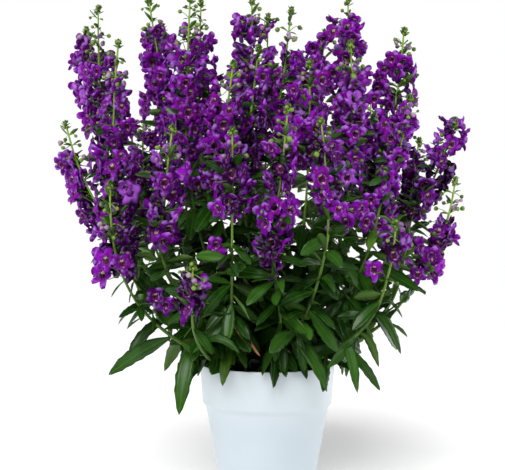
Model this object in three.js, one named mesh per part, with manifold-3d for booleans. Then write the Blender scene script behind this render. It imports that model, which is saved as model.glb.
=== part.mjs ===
// A potted angelonia: a bushy plant of upright flower spikes in a plain pot.
// Millimetres, +Z up. The origin is the centre of the pot's underside, and the front of the plant faces -Y.
//
// Each leafy stem is one green solid: a main stem with its side stem, and their leaves and buds.
// Each spike's open flowers are one purple solid: a thin sleeve round the stem that the florets stand out of.
import * as THREE from "three";
import { mergeVertices } from "three/addons/utils/BufferGeometryUtils.js";
import Module from "manifold-3d";

const wasm = await Module();
wasm.setup();

// Pot
const POT_HEIGHT = 150;
const RIM_RADIUS = 80;
const BAND_HEIGHT = 45;
const BAND_FOOT_RADIUS = 76.5;
const BAND_STEP = 5;
const BODY_TOP_RADIUS = 72.5;
const BASE_RADIUS = 54;
const WALL = 2.5;
const LIP_ROUNDING = 1;
const FLOOR_THICKNESS = 4;
const POT_SIDES = 24;

// Soil
const SOIL_GAP = 0.4;
const SOIL_EDGE_DROP = 12;
const SOIL_CROWN_DROP = 5;
const DOME_RADIUS = 50;

// Stems
const STEM_SIDES = 3;
const STEM_STEPS = 8;
const SIDE_STEM_STEPS = 5;
const STEM_RADIUS_FOOT = 3;
const STEM_RADIUS_TIP = 1.5;
const ROOT_DEPTH = 20;
const ROOT_SPREAD = 0.2;
const STEM_GAP = 0.7;
const START_SHARE = 0.09;
const LEAN_SHARE = 0.85;
const LEAN_HEIGHT_SHARE = 0.2;
const BOW_SHARE = 0.03;
const TANGENT_SPAN = 0.01;

// Florets, larger than life so that a few of them cover a spike
const FLORET_RADIUS = 18;
const FLORET_REACH = 16;
const FLORET_SPACING = 20;
const FLORET_TURN = 137.5;
const FLORET_TURN_DRIFT = 8;
const FLORET_CUP = 3;
const FLORET_TOP_SIZE = 0.82;
const FLORET_TILT_LOW = -4;
const FLORET_TILT_HIGH = 12;
const NOTCH_REACH = 0.6;
const NOTCH_CUP = 1.5;
const NECK_RADIUS = 2.4;
const NECK_DEPTH = 5;
const NECK_TURN = 84;
const STALK_DROP = 4;
const END_FLORET_SHARE = 0.6;
const SLEEVE_WALL = 1.7;
const SPIKE_RADIUS = 25;

// Buds on the green tips
const BUD_SPACING = 12;
const BUD_REACH = 12;
const BUD_RADIUS = 2.6;
const BUD_RISE = 0.8;
const BUD_WAIST = 0.68;
const BUD_TOP_SIZE = 0.6;
const BUD_SPREAD = 0.9;

// Leaves
const LEAF_LENGTH_LOW = 60;
const LEAF_LENGTH_HIGH = 38;
const LEAF_WIDTH_SHARE = 0.13;
const LEAF_THICKNESS = 1.6;
const LEAF_FOLD = 0.2;
const LEAF_RISE = 0.8;
const LEAF_DROOP_LOW = 1.35;
const LEAF_DROOP_HIGH = 0.8;
const LEAF_ROLL = 40;
const LEAF_BEND = 20;
const LEAF_SIZE_LOW = 0.85;
const LEAF_SIZE_HIGH = 1.1;
const LEAF_LEVELS = [0, 0.3, 0.72];
const LEAF_LEVEL_DRIFT = 0.08;
const LEAF_SWINGS = [0, 25, -25, 50, -50];
const FIRST_LEAF_LOW = 8;
const FIRST_LEAF_HIGH = 26;
const LEAF_TOP = 335;
const LEAF_SPIKE_GAP = 12;
const LEAF_CLEARANCE = 17;
const STEM_CLEARANCE = 2.5;
const POT_CLEARANCE = 2.5;
const STEM_SAMPLES = 70;
const LEAF_SEED = 7;
const SEEDS_A_PLANT = 10;

// A plant is a main spike and, where it has a fork, a side spike that leaves its stem there.
// A spike is its tip's place, the length of its open flowers and the length of the green tip above them.
const PLANTS = [
  { fork: 0.3, spikes: [spike(-205, 25, 578, 135, 40), spike(-233, 92, 556, 90, 16)] },
  { fork: 0.3, spikes: [spike(-170, -50, 521, 155, 44), spike(-236, -34, 431, 80, 30)] },
  { fork: 0.3, spikes: [spike(-145, 40, 592, 155, 32), spike(-134, 108, 574, 90, 20)] },
  { fork: 0.3, spikes: [spike(-90, -22, 579, 135, 40), spike(-85, 60, 594, 105, 38)] },
  { fork: 0.2, spikes: [spike(-169, -118, 357, 62, 50), spike(-79, -142, 271, 52, 16)] },
  { fork: 0.2, spikes: [spike(-104, -96, 419, 110, 26), spike(-39, -110, 415, 90, 24)] },
  { fork: 0.35, spikes: [spike(-8, 5, 526, 135, 20), spike(-42, -48, 498, 120, 22)] },
  { fork: 0.35, spikes: [spike(-20, 75, 600, 115, 24), spike(2, 136, 594, 90, 14)] },
  { fork: 0.35, spikes: [spike(38, 28, 577, 135, 32), spike(48, -45, 500, 130, 20)] },
  { fork: 0.35, spikes: [spike(100, 35, 590, 145, 24), spike(80, 105, 566, 95, 14)] },
  { fork: 0.2, spikes: [spike(23, -132, 437, 95, 36), spike(76, -115, 425, 100, 22)] },
  { fork: 0.3, spikes: [spike(104, -45, 522, 130, 28), spike(164, -62, 457, 105, 14)] },
  { fork: 0.3, spikes: [spike(163, 5, 547, 135, 22), spike(195, 80, 423, 95, 18)] },
  { fork: 0.25, spikes: [spike(227, 30, 450, 115, 8), spike(216, -34, 366, 80, 32)] },
  { fork: 0, spikes: [spike(137, -108, 315, 50, 10)] },
  { fork: 0.3, spikes: [spike(-165, 160, 468, 100, 24), spike(-75, 178, 522, 110, 28)] },
  { fork: 0.3, spikes: [spike(60, 182, 516, 110, 26), spike(142, 150, 486, 100, 22)] },
  { fork: 0, spikes: [spike(-8, 212, 420, 90, 24)] },
];

// The long leaves that lean out at the sides and hang over the rim.
// Along is the length up the stem where a leaf grows, and turn is its direction, a quarter turn being +Y.
const LONG_LEAVES = [
  { plant: 2, side: 1, along: 40, turn: 190, length: 74, rise: 0.15, droop: 1 },
  { plant: 5, side: 0, along: 80, turn: 215, length: 40, rise: 0.2, droop: 2.2 },
  { plant: 6, side: 1, along: 20, turn: 255, length: 52, rise: 0.3, droop: 0.95 },
  { plant: 11, side: 0, along: 60, turn: 265, length: 44, rise: 0.2, droop: 1.1 },
  { plant: 11, side: 1, along: 40, turn: 316, length: 50, rise: 0.2, droop: 1.3 },
  { plant: 15, side: 0, along: 96, turn: 300, length: 26, rise: 0.2, droop: 2.2 },
  { plant: 15, side: 0, along: 120, turn: 345, length: 36, rise: 0.1, droop: 1.7 },
  { plant: 15, side: 0, along: 150, turn: 5, length: 30, rise: 0.2, droop: 1.7 },
  { plant: 14, side: 1, along: 60, turn: 340, length: 58, rise: 0.5, droop: 0.9 },
  { plant: 16, side: 0, along: 90, turn: 150, length: 60, rise: 0.2, droop: 1.2 },
  { plant: 18, side: 0, along: 70, turn: 80, length: 50, rise: 0.2, droop: 1.4 },
  { plant: 17, side: 1, along: 40, turn: 30, length: 56, rise: 0.3, droop: 1.3 },
];

const MATERIALS = {
  pot: new THREE.MeshStandardMaterial({ color: 0xe4ebf0, roughness: 0.45, metalness: 0 }),
  soil: new THREE.MeshStandardMaterial({ color: 0x2a1a10, roughness: 0.95, metalness: 0 }),
  stem: new THREE.MeshStandardMaterial({ color: 0x3f7a22, roughness: 0.5, metalness: 0 }),
  floret: new THREE.MeshStandardMaterial({ color: 0x7a1fa0, roughness: 0.6, metalness: 0 }),
};

function spike(x, y, z, flowers, buds) {
  return { tip: new THREE.Vector3(x, y, z), flowers, buds };
}

const radians = THREE.MathUtils.degToRad;
const lerp = THREE.MathUtils.lerp;
const UP = new THREE.Vector3(0, 0, 1);
const THIRDS = [0, 120, 240];

// A level direction at a turn round the Z axis.
function levelAt(turn) {
  return new THREE.Vector3(Math.cos(turn), Math.sin(turn), 0);
}

// Draws between low and high, the same each time for the same seed: a linear congruential generator.
const DRAW_RANGE = 2 ** 32;
const DRAW_FACTOR = 1664525;
const DRAW_STEP = 1013904223;
const SEED_FACTOR = 7919;
const SEED_STEP = 12345;

function drawsFrom(seed) {
  let state = (seed * SEED_FACTOR + SEED_STEP) % DRAW_RANGE;
  return (low, high) => {
    state = (state * DRAW_FACTOR + DRAW_STEP) % DRAW_RANGE;
    return low + ((high - low) * state) / DRAW_RANGE;
  };
}

// Solids and meshes
function solidOf(geometry) {
  const bare = geometry.clone();
  bare.deleteAttribute("normal");
  bare.deleteAttribute("uv");
  const merged = mergeVertices(bare, 1e-4);
  const vertProperties = merged.attributes.position.array;
  const triVerts = new Uint32Array(merged.index.array);
  return new wasm.Manifold(new wasm.Mesh({ numProp: 3, vertProperties, triVerts }));
}

function solidFrom(points, faces) {
  const positions = new Float32Array(points.flatMap((point) => point.toArray()));
  const geometry = new THREE.BufferGeometry();
  geometry.setAttribute("position", new THREE.BufferAttribute(positions, 3));
  geometry.setIndex(faces.flat());
  return solidOf(geometry);
}

function join(solids) {
  return solids.reduce((whole, next) => whole.add(next));
}

function meshOf(name, solid, material) {
  const { vertProperties, triVerts } = solid.getMesh();
  const geometry = new THREE.BufferGeometry();
  geometry.setAttribute("position", new THREE.BufferAttribute(vertProperties, 3));
  geometry.setIndex(new THREE.BufferAttribute(triVerts, 1));
  geometry.computeVertexNormals();
  const mesh = new THREE.Mesh(geometry, material);
  mesh.name = name;
  return mesh;
}

// The line of a stem: up out of its foot, outwards low down, then up to its tip, in straight steps.
class StemLine {
  constructor({ foot, start, tip, steps, radiusFoot, buried }) {
    const rise = tip.z - foot.z;
    const across = new THREE.Vector3(tip.x - foot.x, tip.y - foot.y, 0);
    const leanHeight = lerp(foot.z + buried, tip.z, LEAN_HEIGHT_SHARE);
    this.controls = [
      foot,
      foot.clone().addScaledVector(start, Math.max(START_SHARE * rise, 2 * buried)),
      foot.clone().addScaledVector(across, LEAN_SHARE).setZ(leanHeight),
      tip.clone().addScaledVector(across, BOW_SHARE).setZ(tip.z - rise / 2),
      tip,
    ];
    this.steps = steps;
    this.radiusFoot = radiusFoot;
    this.joints = Array.from({ length: steps + 1 }, (_, i) => this.curve(i / steps));
    this.lengths = [0];
    for (let i = 1; i <= steps; i++)
      this.lengths.push(this.lengths[i - 1] + this.joints[i].distanceTo(this.joints[i - 1]));
    this.length = this.lengths[steps];
  }

  curve(t) {
    const binomials = [1, 4, 6, 4, 1];
    const point = new THREE.Vector3();
    this.controls.forEach((control, i) => {
      point.addScaledVector(control, binomials[i] * t ** i * (1 - t) ** (4 - i));
    });
    return point;
  }

  at(t) {
    const step = Math.min(this.steps - 1, Math.floor(t * this.steps));
    return this.joints[step].clone().lerp(this.joints[step + 1], t * this.steps - step);
  }

  // The t at a length along the line from its foot.
  shareAt(length) {
    let step = 0;
    while (step < this.steps - 1 && this.lengths[step + 1] < length) step++;
    const span = this.lengths[step + 1] - this.lengths[step];
    return (step + (length - this.lengths[step]) / span) / this.steps;
  }

  // The length from the foot up to a height.
  lengthTo(z) {
    const step = this.joints.findIndex((joint) => joint.z > z);
    if (step < 1) return this.length;
    const share = (z - this.joints[step - 1].z) / (this.joints[step].z - this.joints[step - 1].z);
    return lerp(this.lengths[step - 1], this.lengths[step], share);
  }

  radius(t) {
    return lerp(this.radiusFoot, STEM_RADIUS_TIP, t);
  }

  // The tangent at t, and two directions square to it. Side has no part along Y, so sections never twist.
  frame(t) {
    const ahead = this.curve(Math.min(1, t + TANGENT_SPAN));
    const tangent = ahead.sub(this.curve(Math.max(0, t - TANGENT_SPAN))).normalize();
    const side = new THREE.Vector3(0, 1, 0).cross(tangent).normalize();
    return { tangent, side, up: tangent.clone().cross(side) };
  }

  // A three-sided rod along the line between two values of t, thicker than the stem by extra.
  rod(from, to, extra) {
    const joints = this.joints.map((_, i) => i / this.steps);
    const inner = joints.filter((t) => t > from + TANGENT_SPAN && t < to - TANGENT_SPAN);
    const stops = [from, ...inner, to];
    const shape = new THREE.CylinderGeometry(1, 1, 1, STEM_SIDES, stops.length - 1);
    const position = shape.attributes.position;
    for (let i = 0; i < position.count; i++) {
      const t = stops[Math.round((position.getY(i) + 0.5) * (stops.length - 1))];
      const radius = this.radius(t) + extra;
      const { side, up } = this.frame(t);
      const point = this.at(t);
      point.addScaledVector(side, position.getZ(i) * radius);
      point.addScaledVector(up, position.getX(i) * radius);
      position.setXYZ(i, point.x, point.y, point.z);
    }
    return solidOf(shape);
  }
}

// Pot and soil
const BAND_FOOT = POT_HEIGHT - BAND_HEIGHT;
const BODY_TOP = BAND_FOOT - BAND_STEP;

function wallRadius(z) {
  if (z >= BAND_FOOT) return lerp(BAND_FOOT_RADIUS, RIM_RADIUS, (z - BAND_FOOT) / BAND_HEIGHT);
  return lerp(BASE_RADIUS, BODY_TOP_RADIUS, z / BODY_TOP);
}

function lathe(profile) {
  const points = profile.map(([radius, z]) => new THREE.Vector2(radius, z));
  return solidOf(new THREE.LatheGeometry(points, POT_SIDES).rotateX(Math.PI / 2));
}

function pot() {
  return lathe([
    [0, 0],
    [BASE_RADIUS, 0],
    [BODY_TOP_RADIUS, BODY_TOP],
    [BAND_FOOT_RADIUS, BAND_FOOT],
    [RIM_RADIUS, POT_HEIGHT - LIP_ROUNDING],
    [RIM_RADIUS - LIP_ROUNDING, POT_HEIGHT],
    [RIM_RADIUS - WALL, POT_HEIGHT],
    [BAND_FOOT_RADIUS - WALL, BAND_FOOT],
    [BODY_TOP_RADIUS - WALL, BODY_TOP],
    [wallRadius(FLOOR_THICKNESS) - WALL, FLOOR_THICKNESS],
    [0, FLOOR_THICKNESS],
  ]);
}

function soilTop(radius) {
  return POT_HEIGHT - lerp(SOIL_CROWN_DROP, SOIL_EDGE_DROP, (radius / RIM_RADIUS) ** 2);
}

// The soil fills the pot up to a low dome, with a plain hole for each main stem.
function soil(mainLines) {
  const inset = WALL + SOIL_GAP;
  const edge = POT_HEIGHT - SOIL_EDGE_DROP;
  const filling = lathe([
    [0, FLOOR_THICKNESS + SOIL_GAP],
    [wallRadius(FLOOR_THICKNESS) - inset, FLOOR_THICKNESS + SOIL_GAP],
    [BODY_TOP_RADIUS - inset, BODY_TOP],
    [BAND_FOOT_RADIUS - inset, BAND_FOOT],
    [wallRadius(edge) - inset, edge],
    [DOME_RADIUS, soilTop(DOME_RADIUS)],
    [0, soilTop(0)],
  ]);
  const holes = mainLines.map((line) => line.rod(0, 2 / line.steps, STEM_GAP));
  return holes.reduce((left, hole) => left.subtract(hole), filling);
}

// A floret: five lobes round a shallow cup, narrowing behind to a stalk that is rooted in the sleeve.
// A lobe is the turns of its shoulders, clockwise from straight up, and how far they reach.
const LOBES = [
  { shoulders: [20, 58], reach: 1 },
  { shoulders: [96, 130], reach: 0.96 },
  { shoulders: [180], reach: 1 },
  { shoulders: [230, 264], reach: 0.96 },
  { shoulders: [302, 340], reach: 1 },
];
const NECK_OF_POINT = [0, 0, 0, 0, 0, 1, 1, 1, 1, 2, 2, 2, 2, 2];

function floretOutline() {
  return LOBES.flatMap(({ shoulders, reach }, i) => {
    const next = i + 1 < LOBES.length ? LOBES[i + 1].shoulders[0] : LOBES[0].shoulders[0] + 360;
    const notch = [(shoulders.at(-1) + next) / 2, NOTCH_REACH, NOTCH_CUP];
    return [...shoulders.map((shoulder) => [shoulder, reach, FLORET_CUP]), notch];
  });
}

function floret(line, t, turn, size, tilt) {
  const side = levelAt(turn);
  const across = UP.clone().cross(side);
  const outward = side.clone().applyAxisAngle(across, -tilt);
  const upward = outward.clone().cross(across);
  const centre = line.at(t).addScaledVector(side, FLORET_REACH);
  const root = line.at(t).addScaledVector(line.frame(t).tangent, -STALK_DROP);
  const place = (radius, angle, out) => {
    const point = centre.clone().addScaledVector(outward, out);
    point.addScaledVector(across, radius * Math.sin(radians(angle)));
    return point.addScaledVector(upward, radius * Math.cos(radians(angle)));
  };
  const outline = floretOutline().map(([angle, reach, cup]) => {
    return place(FLORET_RADIUS * size * reach, angle, cup);
  });
  const necks = THIRDS.map((third) => place(NECK_RADIUS, NECK_TURN + third, -NECK_DEPTH));
  const throat = outline.length;
  const neck = (i) => throat + 1 + (i % necks.length);
  const stalk = throat + 1 + necks.length;
  const faces = [];
  outline.forEach((_, i) => {
    const next = (i + 1) % outline.length;
    const [near, far] = [neck(NECK_OF_POINT[i]), neck(NECK_OF_POINT[next])];
    faces.push([throat, next, i], [i, next, near]);
    if (near !== far) faces.push([near, next, far]);
  });
  necks.forEach((_, i) => faces.push([neck(i), neck(i + 1), stalk]));
  return solidFrom([...outline, place(0, 0, 0), ...necks, root], faces);
}

// The open flowers of one spike, from the lowest floret to the foot of the green tip.
function openFlowers({ line, spike: { flowers, buds } }, seed) {
  const draw = drawsFrom(seed);
  const top = line.length - buds;
  const bottom = top - flowers;
  const sleeve = line.rod(line.shareAt(bottom), line.shareAt(top), STEM_GAP + SLEEVE_WALL);
  const count = Math.round((flowers - FLORET_RADIUS) / FLORET_SPACING) + 1;
  const firstTurn = draw(0, 360);
  const margin = END_FLORET_SHARE * FLORET_RADIUS;
  const florets = Array.from({ length: count }, (_, i) => {
    const share = i / (count - 1);
    const along = lerp(bottom + margin, top - margin, share);
    const turn = firstTurn + i * FLORET_TURN + draw(-FLORET_TURN_DRIFT, FLORET_TURN_DRIFT);
    const tilt = draw(FLORET_TILT_LOW, FLORET_TILT_HIGH);
    return floret(line, line.shareAt(along), radians(turn), lerp(1, FLORET_TOP_SIZE, share), radians(tilt));
  });
  return join([sleeve, ...florets]).subtract(line.rod(0, 1, STEM_GAP));
}

// A bud on its stalk: thin where it leaves the stem, widest near its own tip.
function bud(line, t, turn, size) {
  const side = levelAt(turn);
  const across = UP.clone().cross(side);
  const outward = side.clone().addScaledVector(UP, BUD_RISE).normalize();
  const upward = outward.clone().cross(across);
  const root = line.at(t);
  const waist = THIRDS.map((angle) => {
    const point = root.clone().addScaledVector(outward, BUD_REACH * size * BUD_WAIST);
    point.addScaledVector(across, BUD_RADIUS * size * Math.sin(radians(angle)));
    return point.addScaledVector(upward, BUD_RADIUS * size * Math.cos(radians(angle)));
  });
  const tip = root.clone().addScaledVector(outward, BUD_REACH * size);
  const [rootIndex, tipIndex] = [4, 3];
  const faces = [0, 1, 2].flatMap((i) => {
    const next = (i + 1) % 3;
    return [[tipIndex, next, i], [rootIndex, i, next]];
  });
  return solidFrom([...waist, tip, root], faces);
}

function greenTip({ line, spike: { buds } }, seed) {
  const count = Math.max(1, Math.round(buds / BUD_SPACING));
  const firstTurn = drawsFrom(seed)(0, 360);
  return Array.from({ length: count }, (_, i) => {
    const share = i / Math.max(1, count - 1);
    const along = line.length - buds * (1 - BUD_SPREAD * share);
    const turn = radians(firstTurn + i * FLORET_TURN);
    return bud(line, line.shareAt(along), turn, lerp(1, BUD_TOP_SIZE, share));
  });
}

// A leaf: a thin arched blade with toothed edges, folded up a little along its middle, with a keel below.
// A point of an edge is its share of the way to the tip, and its share of the blade's half width.
const LEAF_EDGE = [
  [0.16, 0.5],
  [0.42, 1],
  [0.48, 0.82],
  [0.7, 0.74],
  [0.75, 0.54],
];
const LEAF_KEEL = [0.34, 0.68];

class Leaf {
  constructor(line, { along, turn, length, rise, droop, roll = 0 }) {
    this.root = line.at(line.shareAt(along));
    this.side = levelAt(radians(turn));
    this.left = UP.clone().cross(this.side).applyAxisAngle(this.side, radians(roll));
    this.length = length;
    this.rise = rise;
    this.droop = droop;
    this.halfWidth = Math.hypot(length, length * (rise - droop)) * LEAF_WIDTH_SHARE;
  }

  rib(share) {
    const height = this.rise * share - this.droop * share * share;
    const point = this.root.clone().addScaledVector(this.side, this.length * share);
    return point.addScaledVector(UP, this.length * height);
  }

  // A point of the blade, out from its middle by part of the half width, to the left where that is positive.
  point(share, part, depth = 0) {
    const slope = this.rise - 2 * this.droop * share;
    const normal = this.side.clone().addScaledVector(UP, slope).cross(this.left).normalize();
    const lift = Math.abs(part) * this.halfWidth * LEAF_FOLD - depth;
    return this.rib(share).addScaledVector(this.left, part * this.halfWidth).addScaledVector(normal, lift);
  }

  solid() {
    const lefts = LEAF_EDGE.map(([share, part]) => this.point(share, part));
    const rights = LEAF_EDGE.map(([share, part]) => this.point(share, -part));
    const keels = LEAF_KEEL.map((share) => this.point(share, 0, LEAF_THICKNESS));
    const [root, tip] = [0, 1];
    const [left, right, keel] = [2, 2 + LEAF_EDGE.length, 2 + 2 * LEAF_EDGE.length];
    const last = LEAF_EDGE.length - 1;
    const faces = [[root, right, left], [right + last, tip, left + last]];
    for (let i = 0; i < last; i++)
      faces.push([left + i, right + i, right + i + 1], [left + i, right + i + 1, left + i + 1]);
    const underside = (edge) => [
      [root, edge, keel],
      [edge, edge + 1, keel],
      [edge + 1, edge + 2, keel],
      [keel, edge + 2, keel + 1],
      [edge + 2, edge + 3, keel + 1],
      [edge + 3, edge + 4, keel + 1],
      [edge + 4, tip, keel + 1],
    ];
    faces.push(...underside(left), ...underside(right).map(([a, b, c]) => [a, c, b]));
    return solidFrom([this.rib(0), this.rib(1), ...lefts, ...rights, ...keels], faces);
  }

  // Points spread over the blade, to keep it clear of its neighbours.
  samples() {
    const shares = [0.2, 0.3, 0.4, 0.5, 0.6, 0.7, 0.8, 0.9, 1];
    return shares.flatMap((share) => {
      const part = share < 0.9 ? 0.9 : 0.3;
      return [this.point(share, 0), this.point(share, part), this.point(share, -part)];
    });
  }
}

// Leaves grow in opposite pairs, each pair turned a quarter from the last, up to the lowest floret.
// One that would cross the pot, the soil, a stem, a spike or another leaf is turned or left out.
function placeLeaves(stems) {
  const placed = LONG_LEAVES.map((leaf) => {
    const stem = stems.filter(({ plant }) => plant === leaf.plant - 1)[leaf.side];
    return { stem, leaf: new Leaf(stem.line, leaf) };
  });
  const draw = drawsFrom(LEAF_SEED);
  LEAF_LEVELS.forEach((level, i) => {
    stems.forEach((stem) => {
      const highest = Math.min(stem.lowestFloret - LEAF_SPIKE_GAP, stem.leafTop);
      const along = lerp(stem.firstLeaf, highest, level + draw(-LEAF_LEVEL_DRIFT, LEAF_LEVEL_DRIFT));
      [0, 180].forEach((half) => {
        const turn = stem.leafTurn + i * 90 + half + draw(-LEAF_BEND, LEAF_BEND);
        const length = lerp(LEAF_LENGTH_LOW, LEAF_LENGTH_HIGH, level) * draw(LEAF_SIZE_LOW, LEAF_SIZE_HIGH);
        const roll = draw(-LEAF_ROLL, LEAF_ROLL);
        const droop = lerp(LEAF_DROOP_LOW, LEAF_DROOP_HIGH, level);
        const shape = { along, length, rise: LEAF_RISE, droop, roll };
        const tries = LEAF_SWINGS.map((swing) => new Leaf(stem.line, { ...shape, turn: turn + swing }));
        const leaf = tries.find((blade) => isClear(blade.samples(), stem, stems, placed));
        if (leaf) placed.push({ stem, leaf });
      });
    });
  });
  return placed;
}

function isClear(samples, ownStem, stems, placed) {
  if (!samples.every(clearOfPot)) return false;
  if (placed.some(({ leaf }) => nearest(samples, leaf.samples()) < LEAF_CLEARANCE)) return false;
  return stems.every((stem) => samples.every((point) => clearOfStem(point, stem, stem === ownStem)));
}

function clearOfPot(point) {
  const radius = Math.hypot(point.x, point.y);
  if (radius > RIM_RADIUS + POT_CLEARANCE) return true;
  if (radius > RIM_RADIUS - WALL - POT_CLEARANCE) return point.z > POT_HEIGHT + POT_CLEARANCE;
  return point.z > soilTop(radius) + POT_CLEARANCE;
}

// A leaf may lie close to its own stem, but not to the flowers on it.
function clearOfStem(point, stem, own) {
  return stem.samples.every(({ at, radius }) => {
    if (own && radius < SPIKE_RADIUS) return true;
    return at.distanceTo(point) > radius + STEM_CLEARANCE;
  });
}

function nearest(points, others) {
  return Math.min(...points.flatMap((point) => others.map((other) => point.distanceTo(other))));
}

// One stem and what is on it: where its flowers start, where its leaves may grow and points to keep clear of.
function stemOf(plant, line, size, buried) {
  const lowestFloret = line.length - size.buds - size.flowers;
  const samples = Array.from({ length: STEM_SAMPLES + 1 }, (_, i) => {
    const along = (line.length * i) / STEM_SAMPLES;
    const t = line.shareAt(along);
    return { at: line.at(t), radius: along > lowestFloret ? SPIKE_RADIUS : line.radius(t) };
  });
  const draw = drawsFrom(line.steps + plant * SEEDS_A_PLANT);
  return {
    plant,
    line,
    spike: size,
    samples,
    lowestFloret,
    firstLeaf: buried + draw(FIRST_LEAF_LOW, FIRST_LEAF_HIGH),
    leafTop: line.lengthTo(LEAF_TOP),
    leafTurn: draw(0, 180),
  };
}

function stemsOf({ fork, spikes: [main, side] }, plant) {
  const foot = new THREE.Vector3(main.tip.x * ROOT_SPREAD, main.tip.y * ROOT_SPREAD, 0);
  foot.z = soilTop(Math.hypot(foot.x, foot.y)) - ROOT_DEPTH;
  const line = new StemLine({
    foot,
    start: UP,
    tip: main.tip,
    steps: STEM_STEPS,
    radiusFoot: STEM_RADIUS_FOOT,
    buried: ROOT_DEPTH,
  });
  const mainStem = stemOf(plant, line, main, ROOT_DEPTH);
  if (!side) return [mainStem];
  const sideLine = new StemLine({
    foot: line.at(fork),
    start: line.frame(fork).tangent,
    tip: side.tip,
    steps: SIDE_STEM_STEPS,
    radiusFoot: line.radius(fork),
    buried: 0,
  });
  return [mainStem, stemOf(plant, sideLine, side, 0)];
}

const plants = PLANTS.map(stemsOf);
const stems = plants.flat();
const leaves = placeLeaves(stems);

const pottedPlant = new THREE.Group();
pottedPlant.add(meshOf("pot", pot(), MATERIALS.pot));
pottedPlant.add(meshOf("soil", soil(plants.map(([main]) => main.line)), MATERIALS.soil));
plants.forEach((own, i) => {
  const rods = own.map(({ line }) => line.rod(0, 1, 0));
  const blades = leaves.filter(({ stem }) => stem.plant === i).map(({ leaf }) => leaf.solid());
  const buds = own.flatMap((stem, k) => greenTip(stem, k + i * SEEDS_A_PLANT));
  pottedPlant.add(meshOf(`leafy_stem_${i + 1}`, join([...rods, ...blades, ...buds]), MATERIALS.stem));
});
stems.forEach((stem, i) => {
  pottedPlant.add(meshOf(`flower_spike_${i + 1}`, openFlowers(stem, i), MATERIALS.floret));
});

export default pottedPlant;
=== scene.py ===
"""The looks of the potted angelonia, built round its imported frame.

Metres, +Z up. The origin is the centre of the pot's underside, and the front of the plant faces -Y.
The plan of the plant below is in millimetres, as in the solids that these pieces stand for.
"""

import logging
import math
from collections.abc import Callable, Sequence
from dataclasses import dataclass, field
from enum import Enum

import bpy
import numpy as np
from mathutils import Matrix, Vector, noise


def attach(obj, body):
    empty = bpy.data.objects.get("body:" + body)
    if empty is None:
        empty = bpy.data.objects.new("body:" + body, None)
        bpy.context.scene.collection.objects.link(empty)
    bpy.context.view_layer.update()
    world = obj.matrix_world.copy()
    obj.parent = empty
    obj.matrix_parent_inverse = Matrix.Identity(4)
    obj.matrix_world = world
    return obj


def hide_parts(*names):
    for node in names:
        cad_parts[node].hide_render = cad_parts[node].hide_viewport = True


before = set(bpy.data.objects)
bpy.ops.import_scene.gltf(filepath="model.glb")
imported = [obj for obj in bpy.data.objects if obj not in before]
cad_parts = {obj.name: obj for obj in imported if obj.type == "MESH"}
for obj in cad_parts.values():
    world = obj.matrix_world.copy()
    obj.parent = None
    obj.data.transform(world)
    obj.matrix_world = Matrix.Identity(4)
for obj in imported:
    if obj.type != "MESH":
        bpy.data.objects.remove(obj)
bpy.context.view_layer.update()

Array = np.ndarray
Collection = bpy.types.Collection
Material = bpy.types.Material
Mesh = bpy.types.Mesh
Node = bpy.types.Node
Object = bpy.types.Object
Pair = tuple[float, float]
Triple = tuple[float, float, float]

LOG = logging.getLogger("potted_angelonia")

MM = 0.001
UP = np.array((0.0, 0.0, 1.0))
FULL_TURN = 6.2832

# Pot and soil, as in the solids
POT_HEIGHT = 150.0
RIM_RADIUS = 80.0
BAND_HEIGHT = 45.0
BAND_FOOT_RADIUS = 76.5
BAND_STEP = 5.0
BODY_TOP_RADIUS = 72.5
BASE_RADIUS = 54.0
WALL = 2.5
FLOOR_THICKNESS = 4.0
BAND_FOOT = POT_HEIGHT - BAND_HEIGHT
BODY_TOP = BAND_FOOT - BAND_STEP
FLOOR_RADIUS = BASE_RADIUS + (BODY_TOP_RADIUS - BASE_RADIUS) * (FLOOR_THICKNESS / BODY_TOP)
SOIL_GAP = 0.4
SOIL_EDGE_DROP = 12.0
SOIL_CROWN_DROP = 5.0

# Stems, as in the solids
STEM_STEPS = 8
SIDE_STEM_STEPS = 5
STEM_RADIUS_FOOT = 3.0
STEM_RADIUS_TIP = 1.5
ROOT_DEPTH = 20.0
ROOT_SPREAD = 0.2
START_SHARE = 0.09
LEAN_SHARE = 0.85
LEAN_HEIGHT_SHARE = 0.2
BOW_SHARE = 0.03
TANGENT_SPAN = 0.01
SPIKE_RADIUS = 25.0

# Leaves, as in the solids
LEAF_LENGTH_LOW = 60.0
LEAF_LENGTH_HIGH = 38.0
LEAF_WIDTH_SHARE = 0.13
LEAF_FOLD = 0.2
LEAF_RISE = 0.8
LEAF_DROOP_LOW = 1.35
LEAF_DROOP_HIGH = 0.8
LEAF_ROLL = 40.0
LEAF_BEND = 20.0
LEAF_SIZE_LOW = 0.85
LEAF_SIZE_HIGH = 1.1
LEAF_LEVELS = (0.0, 0.3, 0.72)
LEAF_LEVEL_DRIFT = 0.08
LEAF_SWINGS = (0, 25, -25, 50, -50)
FIRST_LEAF_LOW = 8.0
FIRST_LEAF_HIGH = 26.0
LEAF_TOP = 335.0
LEAF_SPIKE_GAP = 12.0
LEAF_CLEARANCE = 17.0
STEM_CLEARANCE = 2.5
POT_CLEARANCE = 2.5
STEM_SAMPLES = 70
LEAF_SEED = 7
SEEDS_A_PLANT = 10

# Where the finer stems lean from, as a share of their length
BEND_START, SIDE_BEND_START = 0.38, 0.12

# Finer leaves: what they face away from, the shade within them, and how far they spread
LEAVES_BACK = 45.0
SHADE_RADIUS, SHADE_DEPTH = 108.0, 48.0
SHADE_TOP, SHADE_FALL = 350.0, 60.0
SPREAD_HEIGHTS = (90, 120, 150, 180, 225, 270, 330, 450)
SPREAD_RADII = (70, 92, 108, 126, 168, 196, 212, 222)
DRIED_TINT, DRIED_CURL = 1.5, 2.2
BRACT_FOLD = 0.35

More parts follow.
